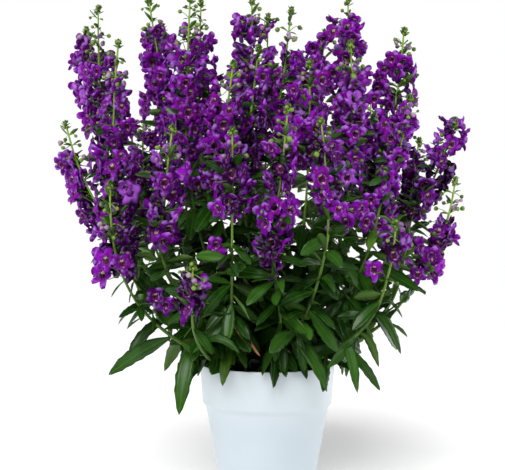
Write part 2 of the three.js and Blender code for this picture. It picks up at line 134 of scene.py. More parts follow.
# Number of shapes of each kind, and the turn in degrees from one flower to the next
LEAF_SHAPES, BRACT_SHAPES, FLORET_SHAPES = 8, 3, 16
GOLDEN_ANGLE = 137.5

# Seeds of the draws
FLORET_SEED, BLADE_SEED, CRUMB_SEED = 100, 300, 500
SPIKE_SEED, YOUNG_SEED = 1000, 2000
PLAN_LEAF_SEED, MORE_LEAF_SEED, GREENS_SEED = 3000, 4000, 5000
TIP_SEED, LOW_LEAF_SEED, SHOWN_LEAF_SEED = 6000, 7000, 8000


class Slot(Enum):
    """The record's material slots."""

    POT = "pot"
    SOIL = "soil"
    FOLIAGE = "foliage"
    PETALS = "petals"


class BudShape(Enum):
    """The shapes of what is green and round on a spike."""

    CUP = 0
    ROUND = 1
    POINTED = 2


@dataclass(frozen=True)
class SpikePlan:
    """The place of a spike's tip, the length of its open flowers and of the green tip above them.

    Args:
        x: Place of the tip to the right of the pot's middle.
        y: Place of the tip behind the pot's middle.
        z: Height of the tip.
        flowers: Length of the open flowers.
        buds: Length of the green tip.
    """

    x: float
    y: float
    z: float
    flowers: float
    buds: float

    @property
    def tip(self) -> Array:
        """The tip's place."""
        return np.array((self.x, self.y, self.z))


@dataclass(frozen=True)
class PlantPlan:
    """A main spike and, where the plant forks, a side spike.

    Args:
        fork: Share of the way up the main stem where the side stem leaves it.
        main: The main spike.
        side: The side spike, if there is one.
    """

    fork: float
    main: SpikePlan
    side: SpikePlan | None = None


PLANTS = tuple(PlantPlan(fork, *(SpikePlan(*spike) for spike in spikes)) for fork, *spikes in (
    (0.3, (-205, 25, 578, 135, 40), (-233, 92, 556, 90, 16)),
    (0.3, (-170, -50, 521, 155, 44), (-236, -34, 431, 80, 30)),
    (0.3, (-145, 40, 592, 155, 32), (-134, 108, 574, 90, 20)),
    (0.3, (-90, -22, 579, 135, 40), (-85, 60, 594, 105, 38)),
    (0.2, (-169, -118, 357, 62, 50), (-79, -142, 271, 52, 16)),
    (0.2, (-104, -96, 419, 110, 26), (-39, -110, 415, 90, 24)),
    (0.35, (-8, 5, 526, 135, 20), (-42, -48, 498, 120, 22)),
    (0.35, (-20, 75, 600, 115, 24), (2, 136, 594, 90, 14)),
    (0.35, (38, 28, 577, 135, 32), (48, -45, 500, 130, 20)),
    (0.35, (100, 35, 590, 145, 24), (80, 105, 566, 95, 14)),
    (0.2, (23, -132, 437, 95, 36), (76, -115, 425, 100, 22)),
    (0.3, (104, -45, 522, 130, 28), (164, -62, 457, 105, 14)),
    (0.3, (163, 5, 547, 135, 22), (195, 80, 423, 95, 18)),
    (0.25, (227, 30, 450, 115, 8), (216, -34, 366, 80, 32)),
    (0.0, (137, -108, 315, 50, 10)),
    (0.3, (-165, 160, 468, 100, 24), (-75, 178, 522, 110, 28)),
    (0.3, (60, 182, 516, 110, 26), (142, 150, 486, 100, 22)),
    (0.0, (-8, 212, 420, 90, 24)),
))


@dataclass(frozen=True)
class LongLeafPlan:
    """A long leaf that leans out at the side or hangs over the rim.

    Args:
        plant: Number of its plant, from 1.
        side: 0 on the main stem and 1 on the side stem.
        along: Length up the stem where it grows.
        turn: Its direction in degrees, a quarter turn being +Y.
        length: How far out it reaches.
        rise: How steeply it leaves the stem.
        droop: How much it hangs towards its tip.
        swing: Degrees that the finer leaf is turned from the solids'.
        trim: Length of the finer leaf as a share of the solids'.
    """

    plant: int
    side: int
    along: float
    turn: float
    length: float
    rise: float
    droop: float
    swing: float = 0.0
    trim: float = 1.0


LONG_LEAVES = tuple(LongLeafPlan(*row) for row in (
    (2, 1, 40, 190, 74, 0.15, 1, 14, 0.78),
    (5, 0, 80, 215, 40, 0.2, 2.2, 30, 0.85),
    (6, 1, 20, 255, 52, 0.3, 0.95),
    (11, 0, 60, 265, 44, 0.2, 1.1),
    (11, 1, 40, 316, 50, 0.2, 1.3),
    (15, 0, 96, 300, 26, 0.2, 2.2),
    (15, 0, 120, 345, 36, 0.1, 1.7, 0, 0.65),
    (15, 0, 150, 5, 30, 0.2, 1.7),
    (14, 1, 60, 340, 58, 0.5, 0.9, 20, 0.6),
    (16, 0, 90, 150, 60, 0.2, 1.2),
    (18, 0, 70, 80, 50, 0.2, 1.4),
    (17, 1, 40, 30, 56, 0.3, 1.3),
))


@dataclass(frozen=True)
class Habit:
    """How one spike differs from the others.

    Args:
        breadth: Reach of its flowers, 1 being usual.
        tail: Length of loose flowers below its own, or of those left out where negative.
        top: How far its top stands to the right of the solids' line.
        foot: How far its lowest flowers stand to the right of it.
        thin: Share of its flowers that it lacks.
        crown: Length without flowers at the top of their zone.
        shift: How far its flowers stand to the right of its stem.
        rise: How far its tip stands above the solids'.
        bare: Length below its green tip where no flower hides the stem from the front.
        light: Share of its flowers that are lilac beyond the usual.
        strays: Single flowers away from the rest: the place of each and its tint.
    """

    breadth: float = 1.0
    tail: float = 8.0
    top: float = 0.0
    foot: float = 0.0
    thin: float = 0.09
    crown: float = 0.0
    shift: float = 0.0
    rise: float = 0.0
    bare: float = 20.0
    light: float = 0.0
    strays: tuple[tuple[float, float, float, float], ...] = ()


HABITS = {
    1: Habit(tail=60, crown=8, foot=3),
    2: Habit(breadth=0.7, top=2, foot=21, crown=-10, shift=-10, rise=11),
    3: Habit(tail=28, foot=-16, bare=46, light=0.1),
    4: Habit(breadth=0.5, tail=16, top=3, foot=38, thin=0.15, shift=-10, bare=120),
    5: Habit(breadth=0.72, foot=35, crown=-6, shift=-4),
    6: Habit(crown=-14, foot=4),
    7: Habit(tail=52, foot=-8, crown=-4, bare=36),
    8: Habit(top=3, crown=-4),
    9: Habit(breadth=0.9, tail=-10, foot=2, thin=0.0, light=0.1, strays=(
        (-120, -122, 236, -0.15), (-110, -116, 227, 0.1), (-182, -62, 320, 0.9),
        (-172, -66, 311, 0.3))),
    10: Habit(breadth=0.8, tail=-16, foot=-4),
    11: Habit(breadth=0.85, tail=-6, foot=-22, bare=20),
    12: Habit(tail=-26, bare=40, light=0.1, strays=((-57, -96, 291, 0.3), (-53, -98, 278, 0.7))),
    13: Habit(top=-2, foot=-22, bare=60),
    14: Habit(top=3, foot=-20, bare=45),
    15: Habit(breadth=0.64, top=2, crown=-8, shift=-9, bare=60),
    16: Habit(breadth=0.35, top=1, crown=-4, thin=0.45),
    17: Habit(breadth=0.8, top=-8, foot=-30, crown=16, shift=8, bare=70),
    18: Habit(breadth=0.9, tail=-36, bare=40, thin=0.2),
    19: Habit(breadth=1.08, crown=-6, bare=5, light=0.12),
    20: Habit(top=-4, foot=-12, crown=-10, shift=-12),
    21: Habit(breadth=0.75, top=-3, tail=32, foot=-17, bare=50),
    22: Habit(breadth=0.8, tail=-26, top=-20, foot=-6, thin=0.3, strays=(
        (71, -100, 312, 0.6), (91, -95, 327, 0.2), (84, -95, 316, 0.4), (102, -90, 331, 0.6),
        (113, -85, 340, 0.3), (108, -88, 316, 0.1))),
    23: Habit(breadth=0.7, top=-9, foot=-6, bare=30, light=0.3),
    24: Habit(breadth=0.5, top=-4, foot=-28, thin=0.2, bare=55),
    25: Habit(breadth=0.82, tail=44, top=1, foot=-18, crown=4, bare=60, light=0.08, strays=(
        (142, 15, 501, 0.2), (137, 14, 489, 0.6), (133, 12, 477, 0.0), (129, 10, 465, 0.3))),
    26: Habit(breadth=0.55, tail=34, foot=-20, thin=0.15),
    27: Habit(breadth=0.86, tail=2, top=3, foot=-40, crown=-12, rise=-8, bare=0),
    28: Habit(breadth=0.66, tail=4, top=1, foot=-22, thin=0.0, crown=12, bare=20),
    29: Habit(breadth=0.7, tail=-22, foot=-6, thin=0.3, strays=(
        (114, -105, 264, 0.5), (133, -50, 330, 0.4), (142, -52, 317, 0.6), (126, -58, 312, 0.2))),
    30: Habit(tail=44, foot=-3, crown=-12, thin=0.0),
    31: Habit(breadth=1.05, tail=42, top=-4, foot=-8, thin=0.0),
    32: Habit(tail=-26, thin=0.2),
    33: Habit(tail=32),
    34: Habit(breadth=0.9, tail=60, foot=-3, strays=((2, -97, 262, 0.3), (7, -98, 271, 0.6))),
}


@dataclass(frozen=True)
class ShownLeaf:
    """A leaf that stands out at the front, drawn from the stem nearest to its root.

    Args:
        root: About where it leaves its stem.
        tip: Where it ends.
        width_share: Its half width as a share of its length.
        tint: 0 for dark green, 1 for yellow green and 2 for a dried leaf.
    """

    root: Triple
    tip: Triple
    width_share: float
    tint: float


SHOWN_LEAVES = tuple(ShownLeaf(*row) for row in (
    ((-13, -95, 262), (-48, -105, 263), 0.17, 0.45),
    ((-11, -92, 244), (34, -110, 226), 0.13, 0.5),
    ((-17, -85, 226), (-45, -105, 186), 0.16, 0.5),
    ((-7, -80, 210), (7, -92, 163), 0.12, 0.35),
    ((17, -85, 233), (31, -100, 195), 0.17, 0.3),
    ((-51, -70, 183), (-24, -92, 156), 0.14, 0.45),
    ((-11, -72, 179), (5, -90, 140), 0.13, 0.35),
    ((54, -68, 171), (60, -86, 129), 0.13, 0.3),
    ((-45, -75, 243), (-70, -90, 225), 0.2, 0.1),
    ((26, -80, 256), (1, -90, 241), 0.19, 0.15),
    ((35, -80, 197), (40, -90, 152), 0.13, 0.3),
    ((-76, -70, 196), (-84, -84, 162), 0.15, 0.3),
    ((-133, -60, 223), (-168, -62, 209), 0.1, 0.2),
    ((-120, -55, 191), (-179, -66, 145), 0.12, 0.3),
    ((-59, -78, 210), (-75, -95, 182), 0.18, 0.5),
    ((-31, -82, 214), (-18, -96, 182), 0.18, 0.15),
    ((68, -80, 214), (76, -92, 174), 0.14, 0.35),
    ((87, -70, 229), (107, -80, 191), 0.14, 0.2),
    ((133, -60, 225), (145, -64, 173), 0.1, 0.3),
    ((143, -40, 255), (179, -50, 234), 0.17, 0.3),
    ((131, -45, 264), (173, -50, 238), 0.13, 0.2),
    ((-75, -123, 216), (-59, -132, 176), 0.18, 0.25),
    ((121, -106, 229), (89, -118, 200), 0.18, 0.2),
    ((93, -60, 184), (99, -66, 128), 0.08, 0.2),
    ((102, -55, 177), (127, -58, 126), 0.08, 0.3),
    ((-110, -60, 265), (-132, -66, 252), 0.2, 0.3),
    ((-97, -60, 328), (-87, -70, 296), 0.14, 0.2),
    ((-70, -70, 335), (-80, -84, 305), 0.18, 0.1),
    ((35, -80, 280), (54, -92, 255), 0.18, 0.35),
    ((60, -80, 285), (35, -88, 272), 0.18, 0.2),
    ((-31, -80, 280), (-51, -92, 272), 0.2, 0.2),
    ((-18, -84, 203), (-9, -105, 171), 0.13, 2.0),
))


# Numbers and directions
class Draws:
    """Numbers that come in the same order each time for the same seed."""

    RANGE = 2**32
    FACTOR = 1664525
    STEP = 1013904223
    SEED_FACTOR = 7919
    SEED_STEP = 12345

    def __init__(self, seed: int) -> None:
        """Starts the draws from a seed."""
        self.state = (seed * self.SEED_FACTOR + self.SEED_STEP) % self.RANGE

    def __call__(self, low: float, high: float) -> float:
        """The next number between low and high."""
        self.state = (self.state * self.FACTOR + self.STEP) % self.RANGE
        return low + (high - low) * self.state / self.RANGE

    def pick(self, count: int, margin: float = 0.01) -> int:
        """One of the whole numbers below count."""
        return int(self(0, count - margin))


def lerp(low: float, high: float, share: float) -> float:
    """The number a share of the way from low to high."""
    return low + (high - low) * share


def clamp(value: float) -> float:
    """The value, held between 0 and 1."""
    return min(1.0, max(0.0, value))


def unit(vector: Array) -> Array:
    """The vector's direction, at length 1."""
    return vector / np.linalg.norm(vector)


def level_at(turn: float) -> Array:
    """The level direction at a turn in degrees round the Z axis."""
    return np.array((math.cos(math.radians(turn)), math.sin(math.radians(turn)), 0.0))


def upright(outward: Array) -> tuple[Array, Array]:
    """The directions across and up on a face that looks outward."""
    across = unit(np.cross(UP, outward))
    return across, np.cross(outward, across)


def turned(vector: Array, axis: Array, angle: float) -> Array:
    """Turns a vector round an axis.

    Args:
        vector: The vector to turn.
        axis: The axis, at length 1.
        angle: The angle in degrees.

    Returns:
        The turned vector.
    """
    cosine, sine = math.cos(math.radians(angle)), math.sin(math.radians(angle))
    along = axis * float(axis @ vector) * (1 - cosine)
    return vector * cosine + np.cross(axis, vector) * sine + along


def soil_top(radius: float) -> float:
    """The height of the soil at a radius from the pot's middle."""
    share = (radius / RIM_RADIUS) ** 2
    return POT_HEIGHT - lerp(SOIL_CROWN_DROP, SOIL_EDGE_DROP, share)


# The plan of the stems and leaves, laid out as in the solids
class StemLine:
    """The line of a stem: up out of its foot, outwards low down, then up to its tip."""

    def __init__(self, foot: Array, start: Array, tip: Array, steps: int,
                 radius_foot: float, buried: float) -> None:
        """Lays the line.

        Args:
            foot: Where it starts.
            start: The direction that it starts in.
            tip: Where it ends.
            steps: Number of straight steps in the solid.
            radius_foot: Radius at its foot.
            buried: Length in the soil.
        """
        rise = tip[2] - foot[2]
        across = np.array((tip[0] - foot[0], tip[1] - foot[1], 0.0))
        lean = foot + across * LEAN_SHARE
        lean[2] = lerp(foot[2] + buried, tip[2], LEAN_HEIGHT_SHARE)
        bow = tip + across * BOW_SHARE
        bow[2] = tip[2] - rise / 2
        first = foot + start * max(START_SHARE * rise, 2 * buried)
        self.controls = np.array((foot, first, lean, bow, tip))
        self.steps = steps
        self.radius_foot = radius_foot
        self.joints = np.array([self.curve(i / steps) for i in range(steps + 1)])
        spans = np.linalg.norm(np.diff(self.joints, axis=0), axis=1)
        self.lengths = np.concatenate(([0.0], np.cumsum(spans)))
        self.length = float(self.lengths[-1])

    def curve(self, t: float) -> Array:
        """The smooth line's place at t, from 0 at the foot to 1 at the tip."""
        weights = [c * t**i * (1 - t) ** (4 - i) for i, c in enumerate((1, 4, 6, 4, 1))]
        return np.array(weights) @ self.controls

    def at(self, t: float) -> Array:
        """The place at t on the solid's straight steps."""
        step = min(self.steps - 1, math.floor(t * self.steps))
        return lerp(self.joints[step], self.joints[step + 1], t * self.steps - step)

    def share_at(self, length: float) -> float:
        """The t at a length along the line.

        Args:
            length: The length from its foot.

        Returns:
            The t, from 0 at the foot to 1 at the tip.
        """
        step = 0
        while step < self.steps - 1 and self.lengths[step + 1] < length:
            step += 1
        span = self.lengths[step + 1] - self.lengths[step]
        return (step + (length - self.lengths[step]) / span) / self.steps

    def length_to(self, z: float) -> float:
        """The length of the line up to a height.

        Args:
            z: The height.

        Returns:
            The length from its foot.
        """
        step = next((i for i, joint in enumerate(self.joints) if joint[2] > z), 0)
        if step < 1:
            return self.length
        low, high = self.joints[step - 1], self.joints[step]
        share = (z - low[2]) / (high[2] - low[2])
        return lerp(self.lengths[step - 1], self.lengths[step], share)

    def radius(self, t: float) -> float:
        """The stem's radius at t."""
        return lerp(self.radius_foot, STEM_RADIUS_TIP, t)

    def tangent(self, t: float) -> Array:
        """The direction of the line at t."""
        ahead = self.curve(min(1.0, t + TANGENT_SPAN))
        return unit(ahead - self.curve(max(0.0, t - TANGENT_SPAN)))


class Stem:
    """One stem and where its leaves and flowers may grow."""

    def __init__(self, number: int, plant: int, line: StemLine, plan: SpikePlan,
                 buried: float) -> None:
        """Works out the stem's zones.

        Args:
            number: Number of the stem, from 0, over the whole plant.
            plant: Number of its plant, from 0.
            line: Its line.
            plan: The spike at its top.
            buried: Length of it that is in the soil.
        """
        self.number, self.plant, self.line, self.plan = number, plant, line, plan
        self.buried = buried
        self.habit = HABITS.get(number + 1, Habit())
        self.lowest_floret = line.length - plan.buds - plan.flowers
        alongs = [line.length * i / STEM_SAMPLES for i in range(STEM_SAMPLES + 1)]
        shares = [line.share_at(along) for along in alongs]
        self.samples = np.array([line.at(t) for t in shares])
        self.radii = np.array([
            SPIKE_RADIUS if along > self.lowest_floret else line.radius(t)
            for along, t in zip(alongs, shares)
        ])
        draw = Draws(line.steps + plant * SEEDS_A_PLANT)
        self.first_leaf = buried + draw(FIRST_LEAF_LOW, FIRST_LEAF_HIGH)
        self.leaf_top = line.length_to(LEAF_TOP)
        self.leaf_turn = draw(0, 180)

    def curve(self, t: float) -> Array:
        """The smooth line with the spike's own lean.

        Args:
            t: From 0 at the foot to 1 at the tip.

        Returns:
            The stem's place there.
        """
        low = self.line.share_at(self.lowest_floret)
        start = BEND_START if self.buried else SIDE_BEND_START
        rise = clamp((t - start) / (low - start))
        above = max(0.0, (t - low) / (1 - low))
        lean = lerp(self.habit.foot, self.habit.top, above) * rise * rise * (3 - 2 * rise)
        return self.line.curve(t) + np.array((lean, 0.0, self.habit.rise * above))

    def place(self, along: float) -> Array:
        """The stem's place at a length along it."""
        return self.curve(self.line.share_at(along))


@dataclass
class Blade:
    """A leaf: a thin arched blade on a stem.

    Args:
        root: Where it leaves the stem.
        turn: Its direction in degrees.
        length: How far out it reaches.
        rise: How steeply it leaves the stem.
        droop: How much it hangs towards its tip.
        roll: Its turn about its own direction, in degrees.
        width_share: Its half width as a share of its length.
        twist: How much it turns about its rib towards its tip, in radians.
        sweep: How far its tip bends to the side, as a share of its length.
        tint: 0 for dark green, 1 for yellow green and 2 for a dried leaf.
        shape: Number of the blade's outline.
    """

    root: Array
    turn: float
    length: float
    rise: float
    droop: float
    roll: float = 0.0
    width_share: float = LEAF_WIDTH_SHARE
    twist: float = 0.0
    sweep: float = 0.0
    tint: float = 0.3
    shape: int = 0
    side: Array = field(init=False)
    left: Array = field(init=False)
    half_width: float = field(init=False)

    def __post_init__(self) -> None:
        """Works out the blade's directions and width."""
        self.side = level_at(self.turn)
        self.left = turned(np.cross(UP, self.side), self.side, self.roll)
        fall = self.length * (self.rise - self.droop)
        self.half_width = math.hypot(self.length, fall) * self.width_share

    def face(self, towards: Array) -> None:
        """Turns the blade about its rib until its upper side looks towards a direction."""
        along = unit(self.side + UP * (self.rise - self.droop))
        self.left = np.cross(unit(towards - along * float(towards @ along)), along)

    def point(self, share: float, part: float) -> Array:
        """A point of the blade.

        Args:
            share: Share of the way from root to tip.
            part: Part of the half width out from the rib, to the left where it is positive.

        Returns:
            The point's place.
        """
        height = self.rise * share - self.droop * share * share
        rib = self.root + (self.side * share + UP * height) * self.length
        slope = self.rise - 2 * self.droop * share
        normal = unit(np.cross(self.side + UP * slope, self.left))
        lift = abs(part) * self.half_width * LEAF_FOLD
        return rib + self.left * part * self.half_width + normal * lift

    def samples(self) -> Array:
        """Spreads points over the blade, to keep it clear of its neighbours.

        Returns:
            The points.
        """
        points = []
        for share in (0.2, 0.3, 0.4, 0.5, 0.6, 0.7, 0.8, 0.9, 1.0):
            part = 0.9 if share < 0.9 else 0.3
            points += [self.point(share, 0), self.point(share, part), self.point(share, -part)]
        return np.array(points)


def leaning(root: Array, turn: float, span: float, lean: float, arch: float,
            **more: float) -> Blade:
    """A blade laid out by its own length and the angle that it leans at.

    Args:
        root: Where it leaves the stem.
        turn: Its direction in degrees.
        span: The distance from its root to its tip.
        lean: The angle of its tip above its root in degrees, or below it where negative.
        arch: How much it bows upwards between them.
        **more: The blade's other values.

    Returns:
        The blade.
    """
    angle = math.radians(lean)
    droop = arch / math.cos(angle)
    return Blade(root, turn, span * math.cos(angle), math.tan(angle) + droop, droop, **more)


def outlook(root: Array, draw: Draws) -> Array:
    """A direction for a leaf's upper side, upwards and away from the middle of the plant."""
    away = unit(np.array((root[0] * 0.7, root[1] - LEAVES_BACK, 1e-6)))
    return away * draw(0.5, 1.1) + UP * draw(0.1, 1.1) + level_at(draw(0, 360)) * draw(0.2, 1.2)


def shade_at(place: Array) -> float:
    """How deep within the shaded middle of the leaves a place is, from 0 to 1."""
    inward = (SHADE_RADIUS - math.hypot(place[0], place[1])) / SHADE_DEPTH
    return clamp(inward) * clamp((SHADE_TOP - place[2]) / SHADE_FALL)


def clear_of_pot(point: Array) -> bool:
    """Tells whether a leaf's point is clear of the pot and the soil.

    Args:
        point: The point.

    Returns:
        True if it is clear.
    """
    radius = math.hypot(point[0], point[1])
    if radius > RIM_RADIUS + POT_CLEARANCE:
        return True
    if radius > RIM_RADIUS - WALL - POT_CLEARANCE:
        return point[2] > POT_HEIGHT + POT_CLEARANCE
    return point[2] > soil_top(radius) + POT_CLEARANCE


def spread_at(z: float) -> float:
    """How far from the pot's middle the leaves reach at a height."""
    return float(np.interp(z, SPREAD_HEIGHTS, SPREAD_RADII))


def gaps(points: Array, others: Array) -> Array:
    """The distance from each point to each of the others."""
    return np.linalg.norm(points[:, None] - others[None], axis=2)


@dataclass(frozen=True)
class LeafKind:
    """What the leaves of one kind are drawn from, each as its least and its greatest value.

    Args:
        spans: Distance from root to tip.
        leans: Angle of the tip above the root, in degrees.
        arches: How much they bow upwards.
        widths: Half width as a share of the length.
        sweep: How far a tip bends to either side.
        tints: Their tint.
        power: What keeps most of the tints low, 1 being even.
    """

    spans: Pair
    leans: Pair
    arches: Pair
    widths: Pair
    sweep: float
    tints: Pair
    power: float = 1.0

    def draw(self, draw: Draws, root: Array, turn: float, span: float = 0.0,
             lean: float = 0.0) -> Blade:
        """Draws a leaf of this kind.

        Args:
            draw: The numbers in use.
            root: Where it leaves the stem.
            turn: Its direction in degrees.
            span: Its length, if that isn't drawn.
            lean: What its lean is added to.

        Returns:
            The leaf.
        """
        blade = leaning(
            root, turn, span or draw(*self.spans), lean + draw(*self.leans), draw(*self.arches),
            width_share=draw(*self.widths), twist=draw(-0.3, 0.3),
            sweep=draw(-self.sweep, self.sweep) if self.sweep else 0.0,
            tint=lerp(*self.tints, draw(0, 1) ** self.power), shape=draw.pick(LEAF_SHAPES))
        blade.face(outlook(root, draw))
        return blade


STEM_LEAF = LeafKind((0, 0), (-26, 26), (0.08, 0.35), (0.15, 0.19), 0.1, (0.0, 0.85), 1.8)
SMALL_LEAF = LeafKind((18, 32), (-50, 50), (0.1, 0.3), (0.14, 0.18), 0.0, (0.0, 0.8))
LOW_LEAF = LeafKind((40, 62), (-68, -5), (0.15, 0.45), (0.15, 0.19), 0.1, (0.0, 0.7), 2.0)
SPIKE_LEAF = LeafKind((22, 34), (-35, 40), (0.1, 0.3), (0.14, 0.18), 0.0, (-0.15, 0.25))


@dataclass
class Layout:
    """Where the stems and leaves of the whole plant are, by the same rules as in the solids."""

    stems: list[Stem] = field(default_factory=list)
    blades: list[tuple[Stem, Blade]] = field(default_factory=list)
    taken: list[Array] = field(default_factory=list)
    shown: list[tuple[Stem, Blade]] = field(default_factory=list)

    def lay_stems(self) -> None:
        """Lays a main stem for each plant, and its side stem where it forks."""
        for plant, plan in enumerate(PLANTS):
            tip = plan.main.tip
            foot = np.array((tip[0] * ROOT_SPREAD, tip[1] * ROOT_SPREAD, 0.0))
            foot[2] = soil_top(math.hypot(foot[0], foot[1])) - ROOT_DEPTH
            line = StemLine(foot, UP, tip, STEM_STEPS, STEM_RADIUS_FOOT, ROOT_DEPTH)
            self.stems.append(Stem(len(self.stems), plant, line, plan.main, ROOT_DEPTH))
            if plan.side is None:
                continue
            side_line = StemLine(
                line.at(plan.fork), line.tangent(plan.fork), plan.side.tip,
                SIDE_STEM_STEPS, line.radius(plan.fork), 0.0,
            )
            self.stems.append(Stem(len(self.stems), plant, side_line, plan.side, 0.0))

    def lay_shown_leaves(self) -> None:
        """Lays the leaves that stand out at the front, each on the stem nearest to its root."""
        draw = Draws(SHOWN_LEAF_SEED)
        places, owners = [], []
        for stem in self.stems:
            for along in np.arange(stem.buried + 12, stem.lowest_floret, 4.0):
                places.append(stem.place(float(along)))
                owners.append(stem)
        for number, plan in enumerate(SHOWN_LEAVES):
            nearest = int(np.argmin(np.linalg.norm(np.array(places) - plan.root, axis=1)))
            root = places[nearest]
            way = np.array(plan.tip) - root
            span, level = float(np.linalg.norm(way)), math.hypot(way[0], way[1])
            blade = leaning(root, math.degrees(math.atan2(way[1], way[0])), span,
                            math.degrees(math.atan2(way[2], level)), draw(0.08, 0.22),
                            tint=plan.tint, twist=draw(-0.15, 0.15), shape=number)
            blade.half_width = span * plan.width_share
            blade.face(np.array((draw(-0.5, 0.5), -1.0, draw(0.2, 0.9))))
            if plan.tint > DRIED_TINT:
                blade.twist = DRIED_CURL
            self.shown.append((owners[nearest], blade))

    def is_clear(self, samples: Array, own: Stem) -> bool:
        """Tells whether a leaf crosses no pot, stem, spike or other leaf.

        Args:
            samples: Points over the leaf.
            own: The stem that it grows on.

        Returns:
            True if the leaf is clear.
        """
        if not all(clear_of_pot(point) for point in samples):
            return False
        for others in self.taken:
            if gaps(samples, others).min() < LEAF_CLEARANCE:
                return False
        for stem in self.stems:
            near = gaps(stem.samples, samples) <= stem.radii[:, None] + STEM_CLEARANCE
            if stem is own:
                near = near[stem.radii >= SPIKE_RADIUS]
            if near.any():
                return False
        return True

    def lay_long_leaves(self) -> None:
        """Lays the long leaves at the sides and over the rim."""
        for plan in LONG_LEAVES:
            stem = [stem for stem in self.stems if stem.plant == plan.plant - 1][plan.side]
            root = stem.line.at(stem.line.share_at(plan.along))
            solid = Blade(root, plan.turn, plan.length, plan.rise, plan.droop)
            self.taken.append(solid.samples())
            blade = Blade(root, plan.turn + plan.swing, plan.length * plan.trim, plan.rise,
                          plan.droop, shape=len(self.blades))
            self.blades.append((stem, blade))

    def lay_leaves(self) -> None:
        """Lays pairs of opposite leaves, each pair turned a quarter from the last."""
        draw = Draws(LEAF_SEED)
        for i, level in enumerate(LEAF_LEVELS):
            for stem in self.stems:
                highest = min(stem.lowest_floret - LEAF_SPIKE_GAP, stem.leaf_top)
                share = level + draw(-LEAF_LEVEL_DRIFT, LEAF_LEVEL_DRIFT)
                along = lerp(stem.first_leaf, highest, share)
                root = stem.line.at(stem.line.share_at(along))
                for half in (0, 180):
                    turn = stem.leaf_turn + i * 90 + half + draw(-LEAF_BEND, LEAF_BEND)
                    size = draw(LEAF_SIZE_LOW, LEAF_SIZE_HIGH)
                    length = lerp(LEAF_LENGTH_LOW, LEAF_LENGTH_HIGH, level) * size
                    roll = draw(-LEAF_ROLL, LEAF_ROLL)
                    droop = lerp(LEAF_DROOP_LOW, LEAF_DROOP_HIGH, level)
                    for swing in LEAF_SWINGS:
                        blade = Blade(root, turn + swing, length, LEAF_RISE, droop, roll,
                                      tint=0.2 + 0.2 * level, shape=len(self.blades))
                        if self.is_clear(blade.samples(), stem):
                            self.blades.append((stem, blade))
                            self.taken.append(blade.samples())
                            break


# Node graphs
def node_operator(operation: str, mirrored: bool = False) -> Callable[..., "Wire"]:
    """Makes an operator that adds a node to the graph of a wire.

    Args:
        operation: The node's operation.
        mirrored: Whether the wire stands on the right of the operator.

    Returns:
        The operator.
    """
    def work(wire: "Wire", *others: "Term") -> "Wire":
        """Adds the node."""
        return wire.graph.maths(operation, *((*others, wire) if mirrored else (wire, *others)))

    return work


class Wire:
    """A node's socket that takes part in Python expressions."""

    __add__, __radd__ = node_operator("ADD"), node_operator("ADD", True)
    __sub__, __rsub__ = node_operator("SUBTRACT"), node_operator("SUBTRACT", True)
    __mul__, __rmul__ = node_operator("MULTIPLY"), node_operator("MULTIPLY", True)
    __abs__ = node_operator("ABSOLUTE")

    def __init__(self, graph: "Graph", socket: bpy.types.NodeSocket) -> None:
        """Wraps an output socket of a graph."""
        self.graph, self.socket = graph, socket


Term = Wire | float | Triple


def is_vector(term: Term) -> bool:
    """True if a term of an expression is a vector."""
    return term.socket.type == "VECTOR" if isinstance(term, Wire) else isinstance(term, tuple)


